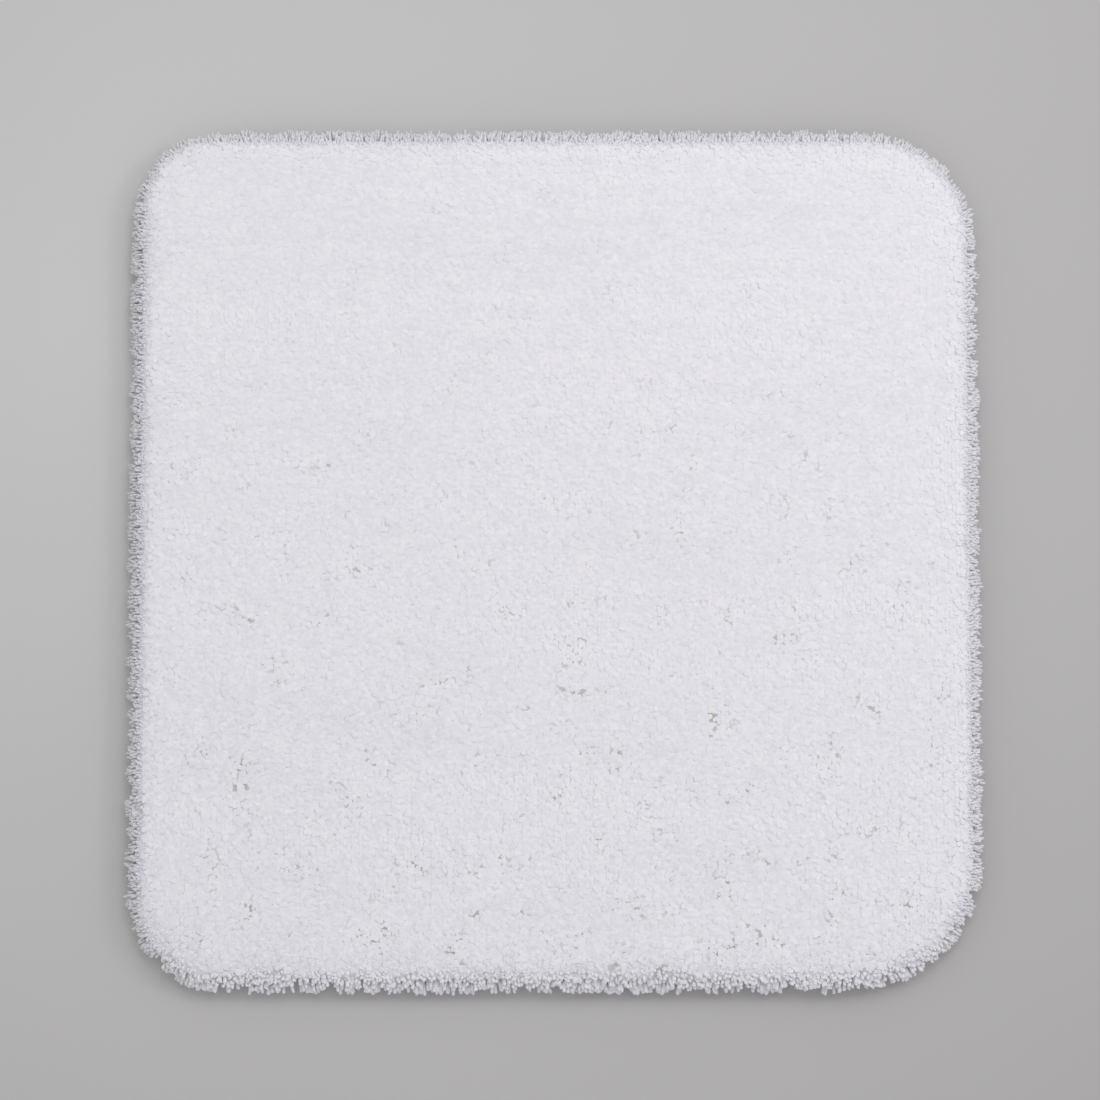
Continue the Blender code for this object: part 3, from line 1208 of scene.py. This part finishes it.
    def _survey(
        self, x: np.ndarray, y: np.ndarray, depth: np.ndarray, outward: np.ndarray, rng: np.random.Generator
    ) -> Ground:
        """Works out what holds where each yarn end is rooted.

        Args:
            x: The yarn ends' X.
            y: The yarn ends' Y.
            depth: How far inside the outermost row each one is.
            outward: The way straight out to the edge.
            rng: Where the strays come from.

        Returns:
            The ground.
        """
        lean = self.lean
        near = np.exp(-np.maximum(depth, 0.0) / self.edge_fade)
        down = np.clip(0.5 - y / self.outline.depth, 0.0, 1.0)
        unrest = lean.unrest_back + (lean.unrest_front - lean.unrest_back) * down + lean.unrest_edge * near
        held = self._held_back(x, y)
        clumps = self._drift(Drift.CLUMPS, x, y)
        clumped = np.clip(lean.stray_even + lean.stray_clumped * clumps, *lean.stray_limits)
        chance = self._by_side(outward, lambda habit: habit.stray) * clumped
        strays = rng.random(len(x)) < chance
        stray = np.where(strays, rng.uniform(*lean.stray_sizes, len(x)), 0.0) * (1.0 - held)
        return Ground(
            x=x,
            y=y,
            depth=depth,
            outward=outward,
            near=near,
            calm=1.0 - near,
            forward=np.clip(-outward[:, 1], 0.0, 1.0),
            down=down,
            unrest=unrest,
            held=held,
            clumps=clumps,
            brushed=self._drift(Drift.BRUSHED, x, y),
            mottle=self._drift(Drift.MOTTLE, x, y),
            stray=stray,
        )

    def _stand(self, ground: Ground, girth: np.ndarray, rng: np.random.Generator) -> Tufts:
        """Gives each yarn end its lean, length, girth and tone.

        Args:
            ground: Where the yarn ends are rooted.
            girth: Their usual radius.
            rng: Where the unevenness comes from.

        Returns:
            The standing tufts.
        """
        cut = self.cut
        lean_x, lean_y = self._lean(ground, rng)
        length = self._length(ground, np.maximum(np.hypot(lean_x, lean_y), Tufts.LEAST_LEAN), rng)
        tone = self._tone(ground, rng)
        sparse = np.clip(self._drift(Drift.SPARSE, ground.x, ground.y) - cut.sparse_from, 0.0, 1.0)
        closed = cut.sparse_closed * sparse * (cut.sparse_back + cut.sparse_front * ground.down)
        opened = cut.back_opened * (1.0 - ground.down) - closed
        sizes = girth * rng.uniform(*cut.girths, len(girth)) * (1.0 + opened)
        shear = ground.calm * (cut.shear_back + (cut.shear_front - cut.shear_back) * ground.down)
        return Tufts(ground.x, ground.y, lean_x, lean_y, length, sizes, tone, shear)

    def _lean(self, ground: Ground, rng: np.random.Generator) -> tuple[np.ndarray, np.ndarray]:
        """How far each yarn end leans along X and along Y, in radians."""
        habit = self.lean
        count = len(ground.x)
        out = habit.out * (1.0 + habit.front * ground.forward * ground.near)
        out = out * (1.0 + (habit.ragged + habit.front_ragged * ground.forward) * ground.clumps)
        out *= 1.0 - habit.held * ground.held
        out = (out + ground.stray * habit.stray) * ground.near
        sideways = self._drift(Drift.SIDEWAYS, ground.x, ground.y)
        aside = ground.near * (habit.sideways * sideways + rng.normal(0.0, habit.askew, count))
        swirled = habit.swirled * self._drift(Drift.SWIRLED, ground.x, ground.y)
        droop = habit.droop * np.clip(habit.droop_from - ground.y / self.outline.depth, 0.0, 1.0)
        way_x, way_y = ground.outward.T
        lean_x = out * way_x - aside * way_y + ground.calm * habit.brushed * ground.brushed
        lean_y = out * way_y + aside * way_x + ground.calm * (swirled - droop)
        lean_x += rng.normal(0.0, 1.0, count) * ground.unrest
        lean_y += rng.normal(0.0, 1.0, count) * ground.unrest
        lean = np.maximum(np.hypot(lean_x, lean_y), Tufts.LEAST_LEAN)
        limit = np.minimum(lean, habit.most) / lean
        return lean_x * limit, lean_y * limit

    def _length(self, ground: Ground, lean: np.ndarray, rng: np.random.Generator) -> np.ndarray:
        """Each yarn end's length: shorn at the edge, and in the field long enough for a level top."""
        cut = self.cut
        level = (np.sin(lean * (1.0 + Tufts.low_bend)) - np.sin(lean * Tufts.low_bend)) / lean
        trim = cut.edge_trim * (1.0 - cut.front_untrimmed * ground.forward)
        trim = trim * (1.0 - cut.stray_untrimmed * ground.stray)
        length = self.height * (1.0 - trim * ground.near**3)
        uneven = rng.normal(0.0, cut.uneven, len(ground.x)) * ground.unrest
        length *= 1.0 + uneven + cut.mottled * ground.mottle - cut.back_short * (1.0 - ground.down)
        levelled = ground.calm**2 * (1.0 / np.maximum(level, cut.lowest_share) - 1.0)
        return length * (1.0 + levelled + ground.near * cut.clumped * ground.clumps)

    def _tone(self, ground: Ground, rng: np.random.Generator) -> np.ndarray:
        """Each yarn end's tone, below nought where painted shade greys it."""
        habit = self.tone
        streaks = self._drift(Drift.STREAKS, ground.x, ground.y)
        pattern = streaks * (1.0 - ground.down) + ground.mottle * ground.down
        tone = rng.normal(habit.middle, habit.spread, len(ground.x)) + habit.brushed * ground.brushed
        tone = np.clip(tone + habit.patterned * pattern, 0.0, 1.0)
        # Painted shade: the outermost and stray yarn ends turn grey, more on some sides of the mat than on
        # others.
        outermost = np.clip(1.0 - ground.depth / habit.painted_shade_reach, 0.0, 1.0) ** habit.painted_shade_fade
        grey = self._by_side(ground.outward, lambda side: side.grey)
        grey = np.clip(grey * (outermost + habit.painted_shade_stray * ground.stray * ground.near), 0.0, 1.0)
        return tone * (1.0 - grey) - habit.deepest_painted_shade * grey

    def _by_side(self, outward: np.ndarray, habit: Callable[[SideHabit], float]) -> np.ndarray:
        """One of the sides' habits for each outward way, mixed round the corners."""
        shares = {each: np.clip(outward @ np.array(each.side.value), 0.0, 1.0) for each in self.sides}
        return sum(habit(each) * share for each, share in shares.items())

    def _held_back(self, x: np.ndarray, y: np.ndarray) -> np.ndarray:
        """From 0 to 1, how much the tufts hold back near the corners."""
        held = np.zeros(len(x))
        for corner in self.corners:
            corner_x = corner.side_x * self.outline.width / 2
            corner_y = corner.side_y * self.outline.depth / 2
            away = np.hypot(x - corner_x, y - corner_y) / self.corner_reach
            held = np.maximum(held, corner.hold * np.clip(self.corner_fade * (1.0 - away), 0.0, 1.0))
        return held

    def build(self) -> list[bpy.types.Object]:
        """Plants the whole pile.

        Returns:
            The loose fibres, the field's strips from left to right, the edge's sides and its single fibres.
        """
        material = self.finish.make()
        rng = np.random.default_rng(self.seed)
        shapes = {kind: kind.model() for kind in TuftKind}
        grown = [self._fill_between(self.fibre_finish.make())]
        inner = self.field_tufts(rng)
        limits = np.quantile(inner.x, np.linspace(0.0, 1.0, self.strips + 1)[1:-1])
        strip_of = np.searchsorted(limits, inner.x)
        for strip in range(self.strips):
            name = f"pile_field_strip_{strip + 1}"
            tufts = inner.part(strip_of == strip)
            grown.append(self._plant(name, tufts, shapes[TuftKind.FIELD], rng, material))
        outer = self.edge_tufts(rng)
        turn = np.arctan2(outer.y / self.outline.depth, outer.x / self.outline.width)
        side_of = ((turn + math.pi / 4) // (math.pi / 2)).astype(int) % len(Side)
        for number, side in enumerate(Side):
            name = f"pile_edge_{side.name.lower()}"
            tufts = outer.part(side_of == number)
            kind = TuftKind.PLUMP if side is Side.FRONT else TuftKind.FINE
            grown.append(self._plant(name, tufts, shapes[kind], rng, material))
        grown.append(self._plant("pile_edge_fibres", self.hairs(rng), shapes[TuftKind.HAIR], rng, material))
        for piece in grown[1:]:
            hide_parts("pile_edge_tufts" if "edge" in piece.name else "pile_field")
        return grown

    def _fill_between(self, material: bpy.types.Material) -> bpy.types.Object:
        """The loose fibres that fill the space between the yarn ends, up to a little below their tips.

        They are modelled from a plane whose corners are cut round, extruded and resized ring by ring.

        Args:
            material: Their finish.

        Returns:
            The surface of the loose fibres.
        """
        thing = start_from(bpy.ops.mesh.primitive_plane_add, "pile_loose_fibres", size=1.0)
        first_inset, first_level = self.fibre_profile[0]
        size = (self.outline.width, self.outline.depth)
        thing.scale = (size[0] - 2 * first_inset, size[1] - 2 * first_inset, 1.0)
        thing.location = (0.0, 0.0, self.root_height + first_level)
        settle(thing)
        bpy.ops.object.mode_set(mode="EDIT")
        round_corners(thing, self.outline, first_inset)
        bpy.ops.mesh.select_all(action="SELECT")
        for (inset, level), (next_inset, next_level) in zip(self.fibre_profile, self.fibre_profile[1:]):
            extrude((0.0, 0.0, next_level - level))
            grow = [(side - 2 * next_inset) / (side - 2 * inset) for side in size]
            bpy.ops.transform.resize(value=(*grow, 1.0), center_override=(0.0, 0.0, 0.0))
        close_shape()
        select_only(thing)
        bpy.ops.object.shade_smooth_by_angle(angle=self.fibre_smooth_below)
        for name, value in ((TONE_AND_SHADE, self.fibre_shade_tone), (ALONG, self.fibre_along)):
            numbers = np.full(len(thing.data.vertices), value, dtype=np.float32)
            thing.data.attributes.new(name, "FLOAT", "POINT").data.foreach_set("value", numbers)
        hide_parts("pile_field", "pile_edge_tufts")
        return finish_piece(thing, material)

    def _plant(
        self,
        name: str,
        tufts: Tufts,
        shapes: Sequence[Template],
        rng: np.random.Generator,
        material: bpy.types.Material,
    ) -> bpy.types.Object:
        """Makes one piece of pile from a mix of shapes.

        Args:
            name: The piece's name.
            tufts: Its yarn ends.
            shapes: The modelled yarn ends to choose from.
            rng: Where the choice comes from.
            material: The yarn.

        Returns:
            The finished piece.
        """
        choice = rng.integers(0, len(shapes), len(tufts.x))
        plantings = []
        for number, shape in enumerate(shapes):
            chosen = tufts.part(choice == number)
            placed = chosen.place(shape, self.root_height, rng)
            each = placed.shape[:2]
            numbers = {
                TONE_AND_SHADE: np.broadcast_to(chosen.tone[:, None], each),
                ALONG: np.broadcast_to(np.clip(shape.points[:, 2], 0.0, 1.0)[None, :], each),
            }
            plantings.append((shape, placed, numbers))
        return finish_piece(grow_mesh(name, plantings), material)


# ---------------------------------------------------------------------------------------------------------
# The layers under the pile
# ---------------------------------------------------------------------------------------------------------


@dataclass
class LayerSheet:
    """A flat layer with the mat's outline, cut to its corners and given its thickness."""

    outline: Outline
    node: str
    name: str
    slot: str
    inset: float
    thickness: float

    def build(self, material: bpy.types.Material) -> bpy.types.Object:
        """Models it from a plane: each corner is cut round, then the sheet is extruded downwards.

        Args:
            material: Its finish.

        Returns:
            The sheet, in the place of its CAD node.
        """
        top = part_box(self.node)[1][2]
        thing = start_from(bpy.ops.mesh.primitive_plane_add, self.name, size=1.0)
        thing.scale = (self.outline.width - 2 * self.inset, self.outline.depth - 2 * self.inset, 1.0)
        thing.location = (0.0, 0.0, top)
        settle(thing)
        bpy.ops.object.mode_set(mode="EDIT")
        round_corners(thing, self.outline, self.inset)
        bpy.ops.mesh.select_all(action="SELECT")
        extrude((0.0, 0.0, -self.thickness))
        close_shape()
        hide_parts(self.node)
        return finish_piece(thing, material)


@dataclass
class GripBack:
    """The rubber back: a film, the flat pads that the mat rests on, and rows of small knobs between them."""

    outline: Outline
    label: tuple[Sequence[float], Sequence[float]]
    inset: float = 1.0 * MM
    film: float = 1.0 * MM
    pad_radius: float = 6 * MM
    pad_pitch: float = 42 * MM
    pad_reach: int = 5
    pad_rim: float = 40 * MM
    knob_radius: float = 1.3 * MM
    knob_height: float = 0.6 * MM
    knob_pitch: float = 9.0 * MM
    knob_rim: float = 10 * MM
    sunk: float = 0.2 * MM
    pad_rounding: float = 0.35 * MM
    dish_rim: float = 0.25
    dish_slope: float = 0.3 * MM
    dish_depth: float = 0.25 * MM
    # Each step of a knob: its share of the drop, and how much narrower it ends.
    knob_steps: tuple[tuple[float, float], ...] = ((0.75, 0.82), (0.25, 0.6))
    finish: GripFinish = field(default_factory=GripFinish)

    def build(self) -> list[bpy.types.Object]:
        """Makes the film, then the pads and the knobs moulded under it."""
        material = self.finish.make()
        sheet = LayerSheet(
            self.outline, "anti_slip_backing", "anti_slip_film", "grip_rubber", self.inset, self.film
        )
        film = sheet.build(material)
        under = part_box("anti_slip_backing")[1][2] - self.film
        pads = self._set_out("anti_slip_pads", self._pad(under), self._pad_places(), material)
        knobs = self._set_out("anti_slip_knobs", self._knob(under), self._knob_places(), material)
        return [film, pads, knobs]

    def _pad(self, under: float) -> Template:
        """Models one pad from a disc: extruded up into the film, with a rounded rim and a shallow dish."""
        thing = start_from(
            bpy.ops.mesh.primitive_circle_add, "pad", vertices=20, radius=self.pad_radius, fill_type="NGON"
        )
        bpy.ops.object.mode_set(mode="EDIT")
        bpy.ops.mesh.select_all(action="SELECT")
        extrude((0.0, 0.0, under + self.sunk))
        pick(thing, lambda at: at.z < self.sunk, "FACE")
        bpy.ops.mesh.bevel(affect="EDGES", offset=self.pad_rounding, segments=2)
        pick(thing, lambda at: at.z < 0.01 * MM, "FACE")
        bpy.ops.mesh.inset(thickness=self.pad_radius * self.dish_rim)
        bpy.ops.mesh.inset(thickness=self.dish_slope)
        bpy.ops.transform.translate(value=(0.0, 0.0, self.dish_depth))
        close_shape()
        return Template.take(thing)

    def _knob(self, under: float) -> Template:
        """Models one knob from a small disc: extruded down and narrowed twice."""
        thing = start_from(
            bpy.ops.mesh.primitive_circle_add, "knob", vertices=7, radius=self.knob_radius, fill_type="NGON"
        )
        thing.location = (0.0, 0.0, under + self.sunk)
        settle(thing)
        bpy.ops.object.mode_set(mode="EDIT")
        bpy.ops.mesh.select_all(action="SELECT")
        drop = self.sunk + self.knob_height
        for share, narrow in self.knob_steps:
            extrude((0.0, 0.0, -share * drop))
            bpy.ops.transform.resize(value=(narrow, narrow, 1.0))
        close_shape()
        return Template.take(thing)

    def _pad_places(self) -> np.ndarray:
        """The pads' middles: a square grid with one pad at the mat's own middle."""
        line = np.arange(-self.pad_reach, self.pad_reach + 1) * self.pad_pitch
        x, y = (axis.ravel() for axis in np.meshgrid(line, line))
        inset, _ = self.outline.inset_and_normal(x, y)
        return np.stack([x, y], axis=1)[inset > self.pad_rim]

    def _knob_places(self) -> np.ndarray:
        """The knobs' middles: a finer grid, with the pads and the label left free."""
        across = int(self.outline.depth / self.knob_pitch / 2)
        line = np.arange(-across, across + 1) * self.knob_pitch
        x, y = (axis.ravel() for axis in np.meshgrid(line, line))
        inset, _ = self.outline.inset_and_normal(x, y)
        free = inset > self.knob_rim
        pads = self._pad_places()
        gaps = np.hypot(x[:, None] - pads[None, :, 0], y[:, None] - pads[None, :, 1]).min(axis=1)
        free &= gaps > self.pad_radius + self.knob_radius
        low, high = self.label
        spare = 2 * self.knob_radius
        beside_x = (x > low[0] - spare) & (x < high[0] + spare)
        beside_y = (y > low[1] - spare) & (y < high[1] + spare)
        return np.stack([x, y], axis=1)[free & ~(beside_x & beside_y)]

    @staticmethod
    def _set_out(
        name: str, shape: Template, places: np.ndarray, material: bpy.types.Material
    ) -> bpy.types.Object:
        """Copies a moulded shape to each place.

        Args:
            name: The piece's name.
            shape: The shape to copy.
            places: The copies' middles.
            material: Their finish.

        Returns:
            The piece, which stands for the anti-slip backing together with the film.
        """
        shifts = np.pad(places, ((0, 0), (0, 1)))
        piece = grow_mesh(name, [(shape, shape.points[None, :, :] + shifts[:, None, :], {})])
        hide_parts("anti_slip_backing")
        return finish_piece(piece, material)


# ---------------------------------------------------------------------------------------------------------
# The overlocked edge
# ---------------------------------------------------------------------------------------------------------


@dataclass
class StitchShape:
    """One stitch's thread: a flattened round section swept along a path by extruding it."""

    UPRIGHT = 0.2

    path: tuple[tuple[float, float, float], ...]
    wide: float
    thick: float
    sides: int = 5

    def model(self) -> Template:
        """Models it: a small disc, extruded and turned from point to point."""
        points = [Vector(point) for point in self.path]
        thing = start_from(
            bpy.ops.mesh.primitive_circle_add, "stitch", vertices=self.sides, radius=0.5, fill_type="NGON"
        )
        thing.scale = (self.wide, self.thick, 1.0)
        settle(thing)
        self._sweep(thing, points)
        thing.data.shade_smooth()
        return Template.take(thing)

    def _sweep(self, thing: bpy.types.Object, points: Sequence[Vector]) -> None:
        """Extrudes the section along the points and sets each ring square to the path.

        Args:
            thing: The object that holds the section.
            points: The path.
        """
        ring = [vertex.co.copy() for vertex in thing.data.vertices]
        bpy.ops.object.mode_set(mode="EDIT")
        bpy.ops.mesh.select_all(action="SELECT")
        for _ in points[1:]:
            extrude((0.0, 0.0, 1.0 * MM))
        close_shape()
        up = Vector((0.0, 0.0, 1.0))
        for vertex in thing.data.vertices:
            level = round(vertex.co.z / MM)
            own = min(ring, key=lambda spot: (spot.xy - vertex.co.xy).length)
            before = points[max(level - 1, 0)]
            after = points[min(level + 1, len(points) - 1)]
            ahead = (after - before).normalized()
            side = ahead.cross(up)
            if side.length < self.UPRIGHT:
                side = Vector((1.0, 0.0, 0.0))
            side.normalize()
            vertex.co = points[level] + own.x * side + own.y * side.cross(ahead).normalized()


@dataclass
class OverlockSeam:
    """Three threads round the cut edge: one looper over it, one under it, and the needle's stitches."""

    outline: Outline
    pitch: float = 2.4 * MM
    needle_inset: float = 6.7 * MM
    looper_wide: float = 1.15 * MM
    thick: float = 0.62 * MM
    needle_wide: float = 0.8 * MM
    finish: ThreadFinish = field(default_factory=ThreadFinish)

    def build(self) -> list[bpy.types.Object]:
        """Makes the three threads."""
        material = self.finish.make()
        made = []
        for face, node in (
            (Face.UPPER, "overlock_upper_looper_thread"),
            (Face.LOWER, "overlock_lower_looper_thread"),
        ):
            made.append(self._thread(node, self._looper(face, node), material))
        made.append(self._thread("overlock_needle_thread", self._needle(), material))
        return made

    def _looper(self, face: Face, node: str) -> Template:
        """One looper stitch: from the edge in to the needle's row, round it and back out.

        Args:
            face: The side of the mat that the thread covers.
            node: The CAD node that gives its levels.

        Returns:
            The stitch, with X along the edge and Y outwards from it.
        """
        low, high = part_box(node)
        level = high[2] - self.thick / 2 if face is Face.UPPER else low[2] + self.thick / 2
        rim = (low[2] if face is Face.UPPER else high[2]) + face.value * 0.1 * MM
        half = self.pitch / 2
        inner = -(self.needle_inset - 0.4 * MM)
        out = -self.looper_wide * 0.3
        way_in = (
            (-half, out, rim),
            (-half * 0.96, out - 0.15 * MM, (rim + 2 * level) / 3),
            (-half * 0.90, out - 1.0 * MM, level),
            (-half * 0.50, inner * 0.6, level),
            (-half * 0.22, inner, level),
        )
        way_out = tuple((-x, y, z) for x, y, z in reversed(way_in))
        return StitchShape(way_in + way_out, self.looper_wide, self.thick).model()

    def _needle(self) -> Template:
        """One needle stitch: a short plump length of thread that dips into the cloth at each end."""
        low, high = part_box("overlock_needle_thread")
        half = self.pitch / 2
        top = high[2] - self.thick / 2
        path = (
            (-half, -self.needle_inset, low[2]),
            (-half * 0.8, -self.needle_inset, top),
            (half * 0.8, -self.needle_inset, top),
            (half, -self.needle_inset, low[2]),
        )
        return StitchShape(path, self.needle_wide, self.thick).model()

    def _thread(self, node: str, shape: Template, material: bpy.types.Material) -> bpy.types.Object:
        """Copies a stitch all the way round.

        Args:
            node: The CAD node that the thread stands for.
            shape: One stitch.
            material: The thread's finish.

        Returns:
            The thread.
        """
        places, outward, _ = self.outline.walk(0.0, self.pitch)
        along = np.stack([outward[:, 1], -outward[:, 0]], axis=1)
        flat = (
            places[:, None, :]
            + shape.points[None, :, :1] * along[:, None, :]
            + shape.points[None, :, 1:2] * outward[:, None, :]
        )
        level = np.broadcast_to(shape.points[None, :, 2:], (len(places), len(shape.points), 1))
        piece = grow_mesh(f"{node}_stitches", [(shape, np.concatenate([flat, level], axis=2), {})])
        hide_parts(node)
        return finish_piece(piece, material)


@dataclass
class CareLabel:
    """A blank ribbon, folded in two, whose ends are caught in the seam."""

    ribbon: float = 0.2 * MM
    fold_steps: int = 6
    finish: WovenFinish = WovenFinish(
        "label_ribbon", (0.84, 0.84, 0.85), (0.74, 0.74, 0.76), pitch=0.35 * MM, roughness=0.4
    )

    def build(self) -> bpy.types.Object:
        """Models it from a narrow plane, extruded along the fold, then gives the ribbon its thickness."""
        low, high = (Vector(corner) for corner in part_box("care_label"))
        gap = high.z - low.z - self.ribbon
        middle = (low.z + high.z) / 2
        turn_y = low.y + gap / 2 + self.ribbon / 2
        thing = start_from(bpy.ops.mesh.primitive_plane_add, "care_label_ribbon", size=1.0)
        thing.scale = (high.x - low.x, 1.0 * MM, 1.0)
        thing.location = ((low.x + high.x) / 2, high.y - 0.5 * MM, middle + gap / 2)
        settle(thing)
        bpy.ops.object.mode_set(mode="EDIT")
        steps = [(high.y - 1.0 * MM, middle + gap / 2), (turn_y, middle + gap / 2)]
        for step in range(1, self.fold_steps + 1):
            angle = math.pi * step / self.fold_steps
            steps.append((turn_y - gap / 2 * math.sin(angle), middle + gap / 2 * math.cos(angle)))
        steps.append((high.y, middle - gap / 2))
        edge_y = high.y - 0.9 * MM
        pick(thing, lambda at: at.y < edge_y)
        for (y, z), (next_y, next_z) in zip(steps, steps[1:]):
            extrude((0.0, next_y - y, next_z - z))
        close_shape()
        select_only(thing)
        bpy.ops.object.modifier_add(type="SOLIDIFY")
        thing.modifiers[0].thickness = self.ribbon
        thing.modifiers[0].offset = 0.0
        bpy.ops.object.modifier_apply(modifier=thing.modifiers[0].name)
        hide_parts("care_label")
        return finish_piece(thing, self.finish.make())


# ---------------------------------------------------------------------------------------------------------
# The studio
# ---------------------------------------------------------------------------------------------------------


@dataclass(frozen=True)
class SoftLight:
    """A large square lamp, aimed at the mat."""

    name: str
    place: tuple[float, float, float]
    size: float
    watts: float
    colour: Colour = (1.0, 1.0, 1.0)

    def hang(self) -> None:
        """Puts the lamp up."""
        lamp = bpy.data.lights.new(self.name, "AREA")
        lamp.size = self.size
        lamp.energy = self.watts
        lamp.color = self.colour
        holder = bpy.data.objects.new(self.name, lamp)
        holder.location = self.place
        holder.rotation_euler = Vector(self.place).to_track_quat("Z", "Y").to_euler()
        bpy.context.scene.collection.objects.link(holder)


@dataclass
class Studio:
    """The floor, the soft light and the camera, which looks almost straight down."""

    floor_size: float = 12.0
    floor: FloorFinish = field(default_factory=FloorFinish)
    sky: Colour = (1.0, 1.0, 1.0)
    sky_strength: float = 0.605
    lights: tuple[SoftLight, ...] = (
        SoftLight("back_light", (0.3, 0.9, 1.9), 1.2, 8.8),
        SoftLight("side_light", (1.5, 0.55, 1.45), 0.45, 4.7),
    )
    elevation: float = math.radians(85.8)
    distance: float = 1.85
    aim: tuple[float, float, float] = (-3.2 * MM, 4 * MM, 10 * MM)
    seen: float = 0.724
    film: float = 36.0

    def build(self) -> None:
        """Makes the floor, the lights and the camera."""
        self._lay_floor()
        for light in self.lights:
            light.hang()
        world = bpy.data.worlds.new("studio_air")
        world.use_nodes = True
        air = world.node_tree.nodes["Background"]
        air.inputs["Color"].default_value = (*self.sky, 1.0)
        air.inputs["Strength"].default_value = self.sky_strength
        bpy.context.scene.world = world
        bpy.context.scene.view_settings.view_transform = "Standard"
        self._set_camera()

    def _lay_floor(self) -> None:
        """A wide plane, inset once, that isn't part of the mat."""
        plane = start_from(bpy.ops.mesh.primitive_plane_add, "studio_floor", size=self.floor_size)
        bpy.ops.object.mode_set(mode="EDIT")
        bpy.ops.mesh.select_all(action="SELECT")
        bpy.ops.mesh.inset(thickness=self.floor_size / 3)
        bpy.ops.object.mode_set(mode="OBJECT")
        plane.data.materials.append(self.floor.make())

    def _set_camera(self) -> None:
        """Stands the camera in front of and far above the mat's middle."""
        lens = bpy.data.cameras.new("camera")
        lens.sensor_width = self.film
        lens.lens = self.film * self.distance / self.seen
        camera = bpy.data.objects.new("camera", lens)
        back = Vector((0.0, -math.cos(self.elevation), math.sin(self.elevation)))
        camera.location = Vector(self.aim) + back * self.distance
        camera.rotation_euler = (math.pi / 2 - self.elevation, 0.0, 0.0)
        bpy.context.scene.collection.objects.link(camera)
        bpy.context.scene.camera = camera


# ---------------------------------------------------------------------------------------------------------
# The mat
# ---------------------------------------------------------------------------------------------------------


@dataclass
class BathMat:
    """The whole mat, built from the floor up."""

    layer_inset: float = 1.0 * MM
    precoat: float = 0.6 * MM
    cloth: float = 0.8 * MM
    needle_inner: float = 7.4 * MM
    root_depth: float = 0.4 * MM
    cloth_finish: WovenFinish = WovenFinish(
        "backing_cloth", (0.80, 0.80, 0.78), (0.55, 0.55, 0.52), pitch=1.3 * MM, roughness=0.85, sheen=0.1
    )
    latex_finish: LatexFinish = field(default_factory=LatexFinish)

    def build(self) -> list[bpy.types.Object]:
        """Makes every piece.

        Returns:
            The pieces from the underside to the pile.
        """
        low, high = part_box("overlock_lower_looper_thread")
        outline = Outline(high[0] - low[0], high[1] - low[1])
        label = CareLabel().build()
        grip = GripBack(outline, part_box("care_label"), self.layer_inset).build()
        latex = LayerSheet(
            outline, "latex_precoat", "latex_precoat_layer", "locking_latex", self.layer_inset, self.precoat
        ).build(self.latex_finish.make())
        cloth = LayerSheet(
            outline, "primary_backing_cloth", "backing_cloth", "backing_cloth", self.layer_inset, self.cloth
        ).build(self.cloth_finish.make())
        seam = OverlockSeam(outline).build()
        pile_low, pile_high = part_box("pile_field")
        root_height = pile_low[2] - self.root_depth
        height = pile_high[2] - pile_low[2] + self.root_depth
        tufts = Pile(outline, root_height, height, self.needle_inner).build()
        flat = (outline.width - 2 * self.layer_inset, outline.depth - 2 * self.layer_inset)
        outline.area(self.layer_inset)
        return [label, *grip, latex, cloth, *seam, *tufts]


def main() -> None:
    """Builds the mat and the studio, and reports each piece."""
    logging.basicConfig(level=logging.INFO, format="%(name)s: %(message)s")
    for piece in BathMat().build():
        LOG.info("%s: %d faces", piece.name, len(piece.data.polygons))
    Studio().build()


if __name__ == "__main__":
    main()
